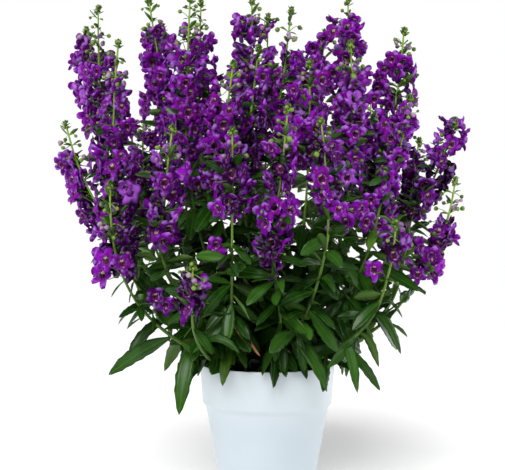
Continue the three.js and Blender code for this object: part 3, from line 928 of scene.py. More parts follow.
class Graph:
    """The nodes of one material or of one shape."""

    def __init__(self, tree: bpy.types.NodeTree) -> None:
        """Works on a node tree."""
        self.tree = tree

    @staticmethod
    def pick(sockets: Sequence[bpy.types.NodeSocket], key: int | str) -> bpy.types.NodeSocket:
        """The socket in use that has a name or a number.

        Args:
            sockets: A node's inputs or outputs.
            key: The socket's name, or its number among those in use.

        Returns:
            The socket.
        """
        used = [socket for socket in sockets if socket.enabled]
        if isinstance(key, int):
            return used[key]
        return next(socket for socket in used if socket.name == key)

    def feed(self, node: Node, key: int | str, value: Term | object) -> None:
        """Links a wire to a node's input, or sets the input's own value.

        Args:
            node: The node.
            key: The input's name or number.
            value: A wire, a list of wires for an input that takes several, or a plain value.
        """
        socket = self.pick(node.inputs, key)
        wires = value if isinstance(value, list) else [value]
        if isinstance(wires[0], Wire):
            for wire in wires:
                self.tree.links.new(wire.socket, socket)
        elif socket.type == "RGBA" and len(value) == 3:
            socket.default_value = (*value, 1.0)
        else:
            socket.default_value = value

    def make(self, kind: str, settings: dict[str, object] | None = None,
             sockets: dict[int | str, object] | None = None) -> Node:
        """Adds a node.

        Args:
            kind: The node's type.
            settings: Its own settings, which are set first.
            sockets: What its inputs take.

        Returns:
            The node.
        """
        node = self.tree.nodes.new(kind)
        for name, value in (settings or {}).items():
            setattr(node, name, value)
        for key, value in (sockets or {}).items():
            self.feed(node, key, value)
        return node

    def node(self, kind: str, settings: dict[str, object] | None = None,
             sockets: dict[int | str, object] | None = None, output: int | str = 0) -> Wire:
        """Adds a node, as make does, and gives the output of that name or number."""
        return Wire(self, self.pick(self.make(kind, settings, sockets).outputs, output))

    def maths(self, operation: str, *terms: Term) -> Wire:
        """A sum on numbers or on vectors.

        Args:
            operation: The operation of a Math or Vector Math node.
            terms: What it works on.

        Returns:
            The result.
        """
        vectors = [term for term in terms if is_vector(term)]
        plain = [term for term in terms if not is_vector(term)]
        if operation == "MULTIPLY" and vectors and plain:
            return self.node("ShaderNodeVectorMath", {"operation": "SCALE"},
                             {"Vector": vectors[0], "Scale": plain[0]})
        kind = "ShaderNodeVectorMath" if vectors else "ShaderNodeMath"
        return self.node(kind, {"operation": operation}, dict(enumerate(terms)))

    def attribute(self, name: str) -> "Parts":
        """The x, y and z of a shape's own attribute, for a material."""
        vector = self.node("ShaderNodeAttribute", {"attribute_name": name}, output="Vector")
        return Parts(self, vector)

    def number(self, name: str) -> Wire:
        """A single number of a shape's own attribute, for a material."""
        return self.node("ShaderNodeAttribute", {"attribute_name": name}, output="Fac")

    def ramp(self, value: Term, low: float, high: float) -> Wire:
        """A smooth step of a value from 0 at low up to 1 at high."""
        return self.node("ShaderNodeMapRange", {"interpolation_type": "SMOOTHSTEP"},
                         {"Value": value, "From Min": low, "From Max": high})

    def fade(self, value: Term, low: float, high: float) -> Wire:
        """A smooth step of a value from 1 at low down to 0 at high."""
        return 1 - self.ramp(value, low, high)

    def mix(self, factor: Term, first: object, second: object) -> Wire:
        """The colour that lies the factor's share of the way from the first to the second."""
        return self.node("ShaderNodeMix", {"data_type": "RGBA"},
                         {"Factor": factor, "A": first, "B": second}, output="Result")

    def cloud(self, scale: float, detail: float, low: float, high: float) -> Wire:
        """Soft patches of a noise, 0 where it is below low and 1 where it is above high."""
        return self.ramp(self.noise(scale, detail), low, high)

    def place(self) -> Wire:
        """The object's own coordinates."""
        return self.node("ShaderNodeTexCoord", output="Object")

    def noise(self, scale: float, detail: float = 2.0) -> Wire:
        """A soft noise, from 0 to 1, with so many lumps in a metre and so many finer layers."""
        return self.node("ShaderNodeTexNoise", {},
                         {"Vector": self.place(), "Scale": scale, "Detail": detail})


class Parts:
    """A vector's three numbers."""

    def __init__(self, graph: Graph, vector: Wire) -> None:
        """Splits a vector."""
        node = graph.make("ShaderNodeSeparateXYZ", {}, {0: vector})
        self.x, self.y, self.z = (Wire(graph, socket) for socket in node.outputs)


class Dressing(Graph):
    """A material's graph, round one surface shader."""

    def __init__(self, name: str, roughness: float, specular: float = 0.5) -> None:
        """Starts a material.

        Args:
            name: The material's name.
            roughness: Its plain roughness.
            specular: Its specular level.
        """
        self.material = bpy.data.materials.new(name)
        self.material.use_nodes = True
        super().__init__(self.material.node_tree)
        self.surface = next(n for n in self.tree.nodes if n.type == "BSDF_PRINCIPLED")
        self.feed(self.surface, "Roughness", roughness)
        self.feed(self.surface, "Specular IOR Level", specular)

    def paint(self, colour: Wire | Triple) -> None:
        """Gives the surface its colour."""
        self.feed(self.surface, "Base Color", colour)

    def bump(self, height: Wire, distance: float, strength: float = 1.0) -> None:
        """Raises the surface's shading by a height, of which 1 is the distance in metres."""
        normal = self.node("ShaderNodeBump", {},
                           {"Height": height, "Distance": distance, "Strength": strength})
        self.feed(self.surface, "Normal", normal)


# Finishes
@dataclass(frozen=True)
class PotFinish:
    """Smooth white plastic with a cool cast, greyer in random patches, with painted shade on the
    body below the band.
    """

    white: Triple = (0.615, 0.685, 0.73)
    # The darker colour: painted shade on the body below the band, and random greyer patches.
    shade: Triple = (0.52, 0.595, 0.645)
    dust: Triple = (0.60, 0.62, 0.60)
    roughness: float = 0.42

    def material(self) -> Material:
        """Makes the pot's material.

        Returns:
            The material.
        """
        graph = Dressing("white pot plastic", self.roughness)
        height = Parts(graph, graph.place()).z
        cloud = graph.cloud(9.0, 2.0, 0.35, 0.7)
        # Painted shade: the body below the band is mixed most of the way to the darker colour.
        painted_shade_below_band = graph.fade(height, 0.07, 0.12)
        colour = graph.mix(cloud * 0.3 + painted_shade_below_band * 0.7, self.white, self.shade)
        foot = graph.fade(height, 0.0, 0.03) * graph.noise(60.0) * 0.25
        graph.paint(graph.mix(foot, colour, self.dust))
        graph.feed(graph.surface, "Roughness", graph.noise(35.0) * 0.1 + (self.roughness - 0.05))
        graph.bump(graph.noise(900.0, 1.0), 0.00006, 0.5)
        return graph.material


@dataclass(frozen=True)
class SoilFinish:
    """Dark peat with lighter crumbs and fibres."""

    peat: Triple = (0.016, 0.009, 0.005)
    crumb: Triple = (0.055, 0.028, 0.014)
    fibre: Triple = (0.13, 0.075, 0.035)

    def material(self) -> Material:
        """Makes the soil's material.

        Returns:
            The material.
        """
        graph = Dressing("peat soil", 0.95, 0.25)
        lumps = graph.cloud(260.0, 4.0, 0.42, 0.66)
        specks = graph.cloud(900.0, 1.0, 0.66, 0.74)
        colour = graph.mix(lumps, self.peat, self.crumb)
        graph.paint(graph.mix(specks, colour, self.fibre))
        graph.bump(graph.noise(700.0, 5.0), 0.0012, 0.9)
        return graph.material


@dataclass(frozen=True)
class LeafFinish:
    """A glossy dark green leaf with a pale rib, and a dull paler underside."""

    dark: Triple = (0.004, 0.030, 0.001)
    fresh: Triple = (0.040, 0.136, 0.013)
    yellow: Triple = (0.15, 0.26, 0.020)
    rib: Triple = (0.11, 0.22, 0.025)
    under: Triple = (0.075, 0.150, 0.030)
    shaded: Triple = (0.003, 0.014, 0.001)
    dried: Triple = (0.34, 0.15, 0.08)
    roughness: float = 0.24
    gloss: float = 0.65

    def material(self) -> Material:
        """Makes the leaves' material.

        Returns:
            The material.
        """
        graph = Dressing("green leaf", 0.5, 0.03)
        blade = graph.attribute("blade")
        tint = graph.number("tint")
        shade = graph.number("shade")
        part = abs(blade.y)
        side_vein = graph.maths("SINE", (blade.x - part * 0.22) * 75.0)
        veins = graph.ramp(side_vein, 0.8, 1.0) * graph.fade(part, 0.6, 0.95)
        rib = graph.fade(part, 0.02, 0.09)
        cloud = graph.cloud(70.0, 3.0, 0.3, 0.75)
        lit = graph.maths("MINIMUM", cloud * 0.3 + tint * 0.95, 1.0)
        colour = graph.mix(lit, self.dark, self.fresh)
        colour = graph.mix(graph.ramp(tint, 0.62, 1.1), colour, self.yellow)
        colour = graph.mix(veins * 0.06, colour, self.rib)
        colour = graph.mix(rib * 0.35, colour, self.rib)
        colour = graph.mix(graph.ramp(blade.z, 0.45, 0.55) * 0.85, colour, self.under)
        # Painted shade: leaves deep in the plant's middle are darkened almost to the shaded colour.
        colour = graph.mix(shade * 0.88, colour, self.shaded)
        colour = graph.mix(graph.ramp(tint, 1.4, 1.8), colour, self.dried)
        graph.paint(colour)
        gloss = graph.cloud(24.0, 1.0, 0.3, 0.7) * (1 - shade) * self.gloss
        graph.feed(graph.surface, "Coat Weight", gloss * graph.fade(tint, 1.4, 1.8))
        graph.feed(graph.surface, "Coat Roughness", self.roughness)
        graph.bump(graph.noise(420.0, 3.0) * 0.4 - veins * 0.12 - rib, 0.0004, 0.8)
        return graph.material


@dataclass(frozen=True)
class StemFinish:
    """A green stem, darker at its foot with painted shade, and bright yellow green at its tip."""

    foot: Triple = (0.018, 0.044, 0.006)
    middle: Triple = (0.036, 0.102, 0.009)
    tip: Triple = (0.270, 0.440, 0.060)

    def material(self) -> Material:
        """Makes the stems' material.

        Returns:
            The material.
        """
        graph = Dressing("green stem", 0.45, 0.25)
        height = graph.number("height")
        streak = graph.cloud(130.0, 3.0, 0.3, 0.75)
        # Painted shade: the lowest part of the stems goes towards the dark foot colour.
        colour = graph.mix(graph.ramp(height, 0.0, 0.3), self.foot, self.middle)
        colour = graph.mix(graph.ramp(height, 0.6, 1.0), colour, self.tip)
        colour = graph.mix(streak * 0.18, colour, self.tip)
        graph.paint(colour)
        graph.bump(graph.noise(1500.0, 2.0), 0.0002, 0.6)
        return graph.material


@dataclass(frozen=True)
class BudFinish:
    """Green buds and flower cups, yellower towards their tips."""

    green: Triple = (0.040, 0.110, 0.020)
    tip: Triple = (0.210, 0.320, 0.045)

    def material(self) -> Material:
        """Makes the material of the green buds and cups.

        Returns:
            The material.
        """
        graph = Dressing("green bud", 0.48, 0.3)
        share = graph.attribute("petal").z
        tint = graph.number("tint")
        colour = graph.mix(graph.ramp(share + tint * 0.5, 0.35, 1.15), self.green, self.tip)
        graph.paint(colour)
        graph.bump(graph.noise(1800.0, 2.0), 0.0002, 0.6)
        return graph.material


@dataclass(frozen=True)
class YoungPetalFinish:
    """Half-open buds: pale mauve petals on a greenish foot."""

    foot: Triple = (0.16, 0.25, 0.060)
    mauve: Triple = (0.40, 0.27, 0.38)
    deep: Triple = (0.20, 0.060, 0.28)

    def material(self) -> Material:
        """Makes the material of the half-open buds.

        Returns:
            The material.
        """
        graph = Dressing("mauve bud", 0.5)
        share = graph.attribute("petal").z
        tint = graph.number("tint")
        petal = graph.mix(graph.ramp(tint, 0.2, 0.9), self.mauve, self.deep)
        stripe = graph.cloud(500.0, 1.0, 0.45, 0.6)
        colour = graph.mix(graph.ramp(share + stripe * 0.2, 0.25, 0.75), self.foot, petal)
        graph.paint(colour)
        graph.bump(graph.noise(900.0, 2.0), 0.0003, 0.6)
        return graph.material


@dataclass(frozen=True)
class PetalFinish:
    """Violet petals round a pale-edged maroon throat with cream anthers, with painted shade and
    painted highlights.
    """

    # deep is near-black violet: painted shade for the flowers with low tints, and the colour of
    # random darker patches.
    deep: Triple = (0.018, 0.001, 0.020)
    violet: Triple = (0.285, 0.007, 0.460)
    magenta: Triple = (0.215, 0.004, 0.290)
    # The colour of the painted shade towards the throat.
    painted_throat_shade: Triple = (0.075, 0.001, 0.080)
    # pale is the colour of the painted highlights on the outer lobes and of the pale ring round the
    # throat.
    pale: Triple = (0.580, 0.280, 0.930)
    lilac: Triple = (0.370, 0.085, 0.590)
    throat: Triple = (0.085, 0.004, 0.050)
    speckle: Triple = (0.330, 0.110, 0.290)
    cream: Triple = (0.800, 0.700, 0.380)
    roughness: float = 0.55

    def material(self) -> Material:
        """Makes the petals' material.

        Returns:
            The material.
        """
        graph = Dressing("violet petal", self.roughness, 0.04)
        petal = graph.attribute("petal")
        tint = graph.number("tint")
        cloud = graph.cloud(110.0, 2.0, 0.3, 0.7)
        # Low tints are painted shade, set by each flower's place in the plant, going towards
        # near-black.
        colour = graph.mix(graph.ramp(tint, -0.35, 0.55), self.deep, self.violet)
        colour = graph.mix(graph.ramp(tint, 0.45, 1.05), colour, self.magenta)
        colour = graph.mix(cloud * 0.45, colour, self.deep)
        # Painted shade: the face darkens towards the throat.
        colour = graph.mix(graph.fade(petal.z, 1.2, 2.3) * 0.7, colour, self.painted_throat_shade)
        colour = graph.mix(graph.ramp(tint, 1.02, 1.25), colour, self.lilac)
        # Painted highlight: pale patches towards the lobes' outer edges, weaker on flowers with low
        # tints.
        light = graph.cloud(150.0, 1.0, 0.44, 0.68)
        light = light * (graph.ramp(tint, -0.6, 0.2) * 0.5 + 0.5)
        colour = graph.mix(graph.ramp(petal.z, 1.9, 3.0) * light * 0.62, colour, self.pale)
        rim = graph.ramp(petal.z, 0.6, 0.9) * graph.fade(petal.z, 1.0, 1.5)
        rim = rim * graph.cloud(620.0, 2.0, 0.42, 0.58)
        inside = graph.fade(petal.z, 0.6, 0.95)
        colour = graph.mix(rim * 0.36, colour, self.pale)
        colour = graph.mix(inside, colour, self.throat)
        specks = graph.cloud(1100.0, 1.0, 0.5, 0.62) * inside
        colour = graph.mix(specks * 0.55, colour, self.speckle)
        anther = self.spot(graph, abs(petal.x), petal.y, 0.9, 3.7, 1.1)
        callus = self.spot(graph, abs(petal.x), petal.y, 0.0, -4.1, 1.2)
        marks = graph.maths("MAXIMUM", anther, callus * 0.8)
        front = graph.fade(petal.z, 1.0, 1.3)
        graph.paint(graph.mix(marks * front * 0.7, colour, self.cream))
        graph.feed(graph.surface, "Roughness", graph.noise(500.0) * 0.15 + (self.roughness - 0.07))
        graph.bump(graph.noise(800.0, 3.0), 0.0003, 0.5)
        return graph.material

    @staticmethod
    def spot(graph: Graph, x: Wire, y: Wire, across: float, up: float, radius: float) -> Wire:
        """A soft round spot on a floret's face.

        Args:
            graph: The material's graph.
            x: The place across the face, in millimetres.
            y: The place up the face, in millimetres.
            across: The spot's place across.
            up: The spot's place up.
            radius: The spot's radius.

        Returns:
            1 inside the spot and 0 outside it.
        """
        dx, dy = x - across, y - up
        gap = graph.maths("SQRT", dx * dx + dy * dy)
        return graph.fade(gap, radius * 0.6, radius)


@dataclass(frozen=True)
class FloorFinish:
    """A plain white floor, lit a little from within as a light table is."""

    white: Triple = (0.93, 0.93, 0.93)
    glow: float = 0.24

    def material(self) -> Material:
        """Makes the floor's material.

        Returns:
            The material.
        """
        graph = Dressing("white floor", 0.9, 0.1)
        graph.paint(self.white)
        graph.feed(graph.surface, "Emission Color", (1.0, 1.0, 1.0))
        graph.feed(graph.surface, "Emission Strength", self.glow)
        return graph.material


# Shape trees
class ShapeTree(Graph):
    """A geometry tree with named inputs that ends in plain faces with one material."""

    def __init__(self, name: str, inputs: dict[str, str]) -> None:
        """Starts a tree.

        Args:
            name: The tree's name.
            inputs: The names of its inputs and the kind of each one's socket.
        """
        super().__init__(bpy.data.node_groups.new(name, "GeometryNodeTree"))
        face = self.tree.interface
        face.new_socket("Geometry", in_out="INPUT", socket_type="NodeSocketGeometry")
        self.keys = {
            label: face.new_socket(
                label, in_out="INPUT", socket_type=f"NodeSocket{kind}").identifier
            for label, kind in {**inputs, "Material": "Material"}.items()
        }
        face.new_socket("Geometry", in_out="OUTPUT", socket_type="NodeSocketGeometry")
        self.entry = self.tree.nodes.new("NodeGroupInput")

    def given(self, name: str) -> Wire:
        """One of the tree's inputs."""
        return Wire(self, self.pick(self.entry.outputs, name))

    def named(self, name: str, data_type: str = "FLOAT") -> Wire:
        """An attribute of the geometry."""
        return self.node("GeometryNodeInputNamedAttribute", {"data_type": data_type},
                         {"Name": name}, output="Attribute")

    def copies(self, points: Wire, sockets: dict[str, object]) -> Wire:
        """Copies of the collection's shapes at points, chosen, turned or sized by the sockets."""
        shapes = self.node("GeometryNodeCollectionInfo", {},
                           {"Collection": self.given("Shapes"), "Separate Children": True,
                            "Reset Children": True})
        return self.node("GeometryNodeInstanceOnPoints", {},
                         {"Points": points, "Instance": shapes, "Pick Instance": True, **sockets})

    def real(self, geometry: Wire) -> Wire:
        """Real faces in the place of copies."""
        return self.node("GeometryNodeRealizeInstances", {}, {"Geometry": geometry})

    def shapes(self) -> Wire:
        """The shape that each point names, unturned, as real faces."""
        number = self.named("shape", "INT")
        return self.real(self.copies(self.given("Geometry"), {"Instance Index": number}))

    def end(self, geometry: Wire) -> None:
        """Ends the tree in real faces with their material.

        Args:
            geometry: What the tree has made.
        """
        smooth = self.node("GeometryNodeSetShadeSmooth", {}, {"Geometry": self.real(geometry)})
        dressed = self.node("GeometryNodeSetMaterial", {},
                            {"Geometry": smooth, "Material": self.given("Material")})
        self.make("NodeGroupOutput", {}, {"Geometry": dressed})

    def grow(self, name: str, source: Object,
             values: dict[str, object]) -> Object:
        """Runs the tree on a source object.

        Args:
            name: Name of the new object.
            source: The object whose points or lines it grows on, which is then removed.
            values: What the tree's inputs take.

        Returns:
            A new object whose mesh is the tree's result.
        """
        modifier = source.modifiers.new(self.tree.name, "NODES")
        modifier.node_group = self.tree
        for label, value in values.items():
            modifier[self.keys[label]] = value
        graph = bpy.context.evaluated_depsgraph_get()
        mesh = bpy.data.meshes.new_from_object(source.evaluated_get(graph), depsgraph=graph)
        source.modifiers.remove(modifier)
        bpy.data.objects.remove(source)
        mesh.name = name
        return placed_object(name, mesh)


def tube_tree() -> ShapeTree:
    """Makes the tree that turns lines into round tubes of their own thickness.

    Returns:
        The tree.
    """
    tree = ShapeTree("tubes along lines", {"Sides": "Int"})
    line = tree.node("GeometryNodeMeshToCurve", {}, {"Mesh": tree.given("Geometry")})
    ring = tree.node("GeometryNodeCurvePrimitiveCircle", {},
                     {"Resolution": tree.given("Sides"), "Radius": 1.0})
    tube = tree.node("GeometryNodeCurveToMesh", {},
                     {"Curve": line, "Profile Curve": ring, "Scale": tree.named("thickness"),
                      "Fill Caps": True})
    tree.end(tube)
    return tree


def frame_tree() -> ShapeTree:
    """Makes the tree that sets shapes at points, each turned and sized as its point says.

    Returns:
        The tree.
    """
    tree = ShapeTree("shapes at points", {"Shapes": "Collection"})
    origin, across, upward = (
        tree.named(name, "FLOAT_VECTOR") for name in ("origin", "across", "upward"))
    outward = tree.maths("CROSS_PRODUCT", across, upward)
    local = Parts(tree, (tree.node("GeometryNodeInputPosition") - origin) * tree.named("size"))
    place = origin + across * local.x + upward * local.y + outward * local.z
    tree.end(tree.node("GeometryNodeSetPosition", {},
                       {"Geometry": tree.shapes(), "Position": place}))
    return tree


def blade_tree() -> ShapeTree:
    """Makes the tree that bends flat blades along the arches of their leaves.

    Returns:
        The tree.
    """
    tree = ShapeTree("blades on stems", {"Shapes": "Collection", "Fold": "Float"})
    origin, side, left = (
        tree.named(name, "FLOAT_VECTOR") for name in ("origin", "side", "left"))
    length, half, rise, droop = (
        tree.named(name) for name in ("length", "half", "rise", "droop"))
    local = Parts(tree, tree.node("GeometryNodeInputPosition") - origin)
    share, part, depth = local.x, local.y, local.z
    slope = rise - droop * share * 2.0
    along = side + tree.node("ShaderNodeCombineXYZ", {}, {"Z": slope})
    normal = tree.maths("NORMALIZE", tree.maths("CROSS_PRODUCT", along, left))
    twist = tree.named("twist") * share
    leftward = left * tree.maths("COSINE", twist) + normal * tree.maths("SINE", twist)
    facing = normal * tree.maths("COSINE", twist) - left * tree.maths("SINE", twist)
    height = (rise - droop * share) * share * length
    rib = origin + side * (share * length) + tree.node("ShaderNodeCombineXYZ", {}, {"Z": height})
    rib = rib + left * (tree.named("sweep") * share * share * length)
    lift = (abs(part) * tree.given("Fold") + depth) * half
    place = rib + leftward * (part * half) + facing * lift
    tree.end(tree.node("GeometryNodeSetPosition", {},
                       {"Geometry": tree.shapes(), "Position": place}))
    return tree


def crumb_tree() -> ShapeTree:
    """Makes the tree that strews crumbs over the top of the soil.

    Returns:
        The tree.
    """
    tree = ShapeTree("crumbs on soil", {"Shapes": "Collection", "Density": "Float",
                                        "Smallest": "Float", "Largest": "Float", "Seed": "Int"})
    soil = tree.given("Geometry")
    spread = tree.node("GeometryNodeDistributePointsOnFaces", {}, {
        "Mesh": soil, "Selection": tree.named("top", "BOOLEAN"),
        "Density": tree.given("Density"), "Seed": tree.given("Seed"),
    })
    turn = tree.node("FunctionNodeRandomValue", {"data_type": "FLOAT_VECTOR"},
                     {"Max": (FULL_TURN,) * 3, "Seed": tree.given("Seed")})
    size = tree.node("FunctionNodeRandomValue", {"data_type": "FLOAT"},
                     {"Min": tree.given("Smallest"), "Max": tree.given("Largest"),
                      "Seed": tree.given("Seed")})
    strewn = tree.copies(spread, {"Rotation": turn, "Scale": size})
    tree.end(tree.node("GeometryNodeJoinGeometry", {}, {"Geometry": [soil, strewn]}))
    return tree


# Meshes and objects
def placed_object(name: str, data: bpy.types.ID) -> Object:
    """Puts an object in the scene.

    Args:
        name: Name of the object.
        data: Its mesh, which holds its place, or its lamp or camera.

    Returns:
        The object.
    """
    made = bpy.data.objects.new(name, data)
    bpy.context.scene.collection.objects.link(made)
    return made


def mesh_of(name: str, points: Sequence[Sequence[float]], faces: Sequence[Sequence[int]],
            edges: Sequence[Sequence[int]] = (), scale: float = MM) -> Mesh:
    """Makes a mesh.

    Args:
        name: The mesh's name.
        points: Its points.
        faces: The points' numbers round each face.
        edges: The points' numbers of each loose edge.
        scale: What the points are multiplied by.

    Returns:
        The mesh.
    """
    mesh = bpy.data.meshes.new(name)
    scaled = [tuple(float(v) * scale for v in point) for point in points]
    mesh.from_pydata(scaled, edges, faces)
    mesh.shade_smooth()
    mesh.update()
    return mesh


def give(mesh: Mesh, name: str, values: Sequence[object]) -> None:
    """Gives each point of a mesh a value of its own.

    Args:
        mesh: The mesh.
        name: Name of the attribute.
        values: A number, a whole number or a vector for each point.
    """
    first = values[0]
    if isinstance(first, (int, np.integer)):
        kind, key = "INT", "value"
    elif isinstance(first, (float, np.floating)):
        kind, key = "FLOAT", "value"
    else:
        kind, key = "FLOAT_VECTOR", "vector"
    made = mesh.attributes.new(name, kind, "POINT")
    made.data.foreach_set(key, np.array(values, np.int32 if kind == "INT" else np.float32).ravel())


def shape_collection(name: str, meshes: Sequence[Mesh]) -> Collection:
    """Collects shapes to copy, which aren't in the scene.

    Args:
        name: Name of the collection.
        meshes: The shapes, whose names are in the order of their numbers.

    Returns:
        The collection.
    """
    made = bpy.data.collections.new(name)
    for mesh in meshes:
        made.objects.link(bpy.data.objects.new(mesh.name, mesh))
    return made


def joined(name: str, objects: Sequence[Object]) -> Object:
    """Joins objects into the first of them.

    Args:
        name: Name of the piece.
        objects: What is joined.

    Returns:
        The piece.
    """
    piece = objects[0]
    with bpy.context.temp_override(active_object=piece, selected_editable_objects=list(objects)):
        bpy.ops.object.join()
    piece.name = piece.data.name = name
    return piece


TREE_VALUES = ("origin", "across", "upward", "side", "left", "length", "half", "rise", "droop",
               "twist", "sweep", "size", "shape", "thickness", "top")


def settle(piece: Object, slot: Slot, *nodes: str) -> None:
    """Seats a finished piece in the frame and reports it.

    Args:
        piece: The piece.
        slot: The record's slot for the piece; not used.
        nodes: The solids that it stands for.
    """
    for name in TREE_VALUES:
        if name in piece.data.attributes:
            piece.data.attributes.remove(piece.data.attributes[name])
    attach(piece, "root")
    if nodes:
        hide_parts(*nodes)
    triangles = sum(len(face.vertices) - 2 for face in piece.data.polygons)
    LOG.info("%s: %d triangles", piece.name, triangles)


def bridge(outer: list[int], outer_turns: list[float], inner: list[int],
           inner_turns: list[float]) -> list[tuple[int, ...]]:
    """Triangles between two rings, which run clockwise seen from their front.

    Args:
        outer: The points' numbers of the outer ring.
        outer_turns: Their turns, rising from the first.
        inner: The points' numbers of the inner ring.
        inner_turns: Their turns, rising from the first.

    Returns:
        The triangles.
    """
    faces, i, j = [], 0, 0
    while i < len(outer) or j < len(inner):
        next_outer = outer_turns[i + 1] if i + 1 < len(outer) else outer_turns[0] + 360
        next_inner = inner_turns[j + 1] if j + 1 < len(inner) else inner_turns[0] + 360
        a, b = outer[i % len(outer)], inner[j % len(inner)]
        if j >= len(inner) or (i < len(outer) and next_outer <= next_inner):
            faces.append((b, outer[(i + 1) % len(outer)], a))
            i += 1
        else:
            faces.append((b, inner[(j + 1) % len(inner)], a))
            j += 1
    return faces


def ring_points(radius: float, height: float, sides: int) -> list[Triple]:
    """The points of a level ring."""
    turns = [2 * math.pi * k / sides for k in range(sides)]
    return [(radius * math.cos(turn), radius * math.sin(turn), height) for turn in turns]


def lathe(profile: Sequence[Pair], sides: int) -> tuple[
        list[Triple], list[tuple[int, ...]]]:
    """A round shape, closed at both ends, with its axis along +Z.

    Args:
        profile: Radius and height from one end to the other, with a point at each end.
        sides: Number of its sides.

    Returns:
        Its points and its faces.
    """
    (_, foot), *rings, (_, tip) = profile
    points = [(0.0, 0.0, foot)]
    for radius, height in rings:
        points += ring_points(radius, height, sides)
    points.append((0.0, 0.0, tip))
    faces, top = [], 1 + (len(rings) - 1) * sides
    for k in range(sides):
        after = (k + 1) % sides
        faces.append((0, 1 + after, 1 + k))
        for low in range(1, top, sides):
            high = low + sides
            faces.append((low + k, low + after, high + after, high + k))
        faces.append((top + k, top + after, len(points) - 1))
    return points, faces


def turned_shape(name: str, profile: Sequence[Pair], sides: int) -> Mesh:
    """A small turned shape to copy.

    Args:
        name: The mesh's name.
        profile: Radius and height from the foot to the tip.
        sides: Number of its sides.

    Returns:
        The mesh, whose "petal" attribute holds the share of the height.
    """
    points, faces = lathe(profile, sides)
    mesh = mesh_of(name, points, faces)
    foot, full = profile[0][1], profile[-1][1] - profile[0][1]
    give(mesh, "petal", [(x, y, (z - foot) / full) for x, y, z in points])
    return mesh


@dataclass
class PointSet:
    """Points that a shape tree grows on, each with values of its own."""

    columns: dict[str, list[object]] = field(default_factory=dict)

    def add(self, **values: object) -> None:
        """Adds a point and its values."""
        for name, value in values.items():
            self.columns.setdefault(name, []).append(value)

    def add_copy(self, origin: Array, across: Array, upward: Array, size: float,
                 tint: float, shape: int) -> None:
        """Adds a point where the shape of that number stands, turned, sized and tinted."""
        self.add(origin=origin, across=across, upward=upward, size=size, tint=tint, shape=shape)

    def source(self, name: str) -> Object:
        """Makes an object of the points, in metres.

        Args:
            name: Name of the object.

        Returns:
            The object.
        """
        origins = np.array(self.columns["origin"]) * MM
        mesh = mesh_of(name, origins, (), scale=1.0)
        for label, values in self.columns.items():
            give(mesh, label, list(origins) if label == "origin" else values)
        return placed_object(name, mesh)


@dataclass
class LineSet:
    """Lines that the tube tree follows."""

    points: list[Array] = field(default_factory=list)
    edges: list[tuple[int, int]] = field(default_factory=list)
    thickness: list[float] = field(default_factory=list)
    height: list[float] = field(default_factory=list)

    def add(self, line: Sequence[Array], thickness: Sequence[float],
            height: Sequence[float]) -> None:
        """Adds a line.

        Args:
            line: Its points, in millimetres.
            thickness: The tube's radius at each point, in millimetres.
            height: How far up the plant's colours each point is, from 0 to 1.
        """
        first = len(self.points)
        self.points += list(line)
        self.edges += [(first + i, first + i + 1) for i in range(len(line) - 1)]
        self.thickness += [float(radius * MM) for radius in thickness]
        self.height += [float(value) for value in height]

    def source(self, name: str) -> Object:
        """Makes an object of the lines, in metres.

        Args:
            name: Name of the object.

        Returns:
            The object.
        """
        mesh = mesh_of(name, self.points, (), self.edges)
        give(mesh, "thickness", self.thickness)
        give(mesh, "height", self.height)
        return placed_object(name, mesh)


# Pot and soil
@dataclass
class Pot:
    """The plain white pot: a tapered body below a deep band, with rounded edges.

    Args:
        sides: Number of its sides.
        lip: Rounding of its lip.
        edge: Rounding of its other edges.
        finish: Its plastic.
    """

    sides: int = 128
    lip: float = 1.2
    edge: float = 1.4
    finish: PotFinish = PotFinish()

    def corner(self, before: Pair, at: Pair,
               after: Pair, rounding: float) -> list[Pair]:
        """The points of a rounded corner of the profile.

        Args:
            before: The profile's point before the corner.
            at: The corner.
            after: The profile's point after it.
            rounding: How far from the corner the rounding starts.

        Returns:
            Its points.
        """
        here = np.array(at)
        first = here + unit(np.array(before) - here) * rounding
        last = here + unit(np.array(after) - here) * rounding
        steps = [i / 4 for i in range(5)]
        return [tuple((1 - t) ** 2 * first + 2 * t * (1 - t) * here + t * t * last) for t in steps]

    def profile(self) -> list[Pair]:
        """The pot's section, from the middle of its underside round to the middle of its floor.

        Returns:
            Radius and height of its points.
        """
        corners = [
            ((0.0, 0.0), 0.0),
            ((BASE_RADIUS, 0.0), 1.5),
            ((BODY_TOP_RADIUS, BODY_TOP), 1.8),
            ((BAND_FOOT_RADIUS, BAND_FOOT), self.edge),
            ((RIM_RADIUS, POT_HEIGHT), self.lip),
            ((RIM_RADIUS - WALL, POT_HEIGHT), self.lip * 0.9),
            ((BAND_FOOT_RADIUS - WALL, BAND_FOOT), self.edge),
            ((BODY_TOP_RADIUS - WALL, BODY_TOP), 1.5),
            ((FLOOR_RADIUS - WALL, FLOOR_THICKNESS), 1.5),
            ((0.0, FLOOR_THICKNESS), 0.0),
        ]
        points = [corners[0][0]]
        for (before, _), (at, rounding), (after, _) in zip(corners, corners[1:], corners[2:]):
            points += self.corner(before, at, after, rounding)
        return points + [corners[-1][0]]

    def build(self) -> Object:
        """Builds and dresses the pot.

        Returns:
            The piece.
        """
        mesh = mesh_of("white_pot", *lathe(self.profile(), self.sides))
        mesh.materials.append(self.finish.material())
        piece = placed_object("white_pot", mesh)
        settle(piece, Slot.POT, "pot")
        return piece


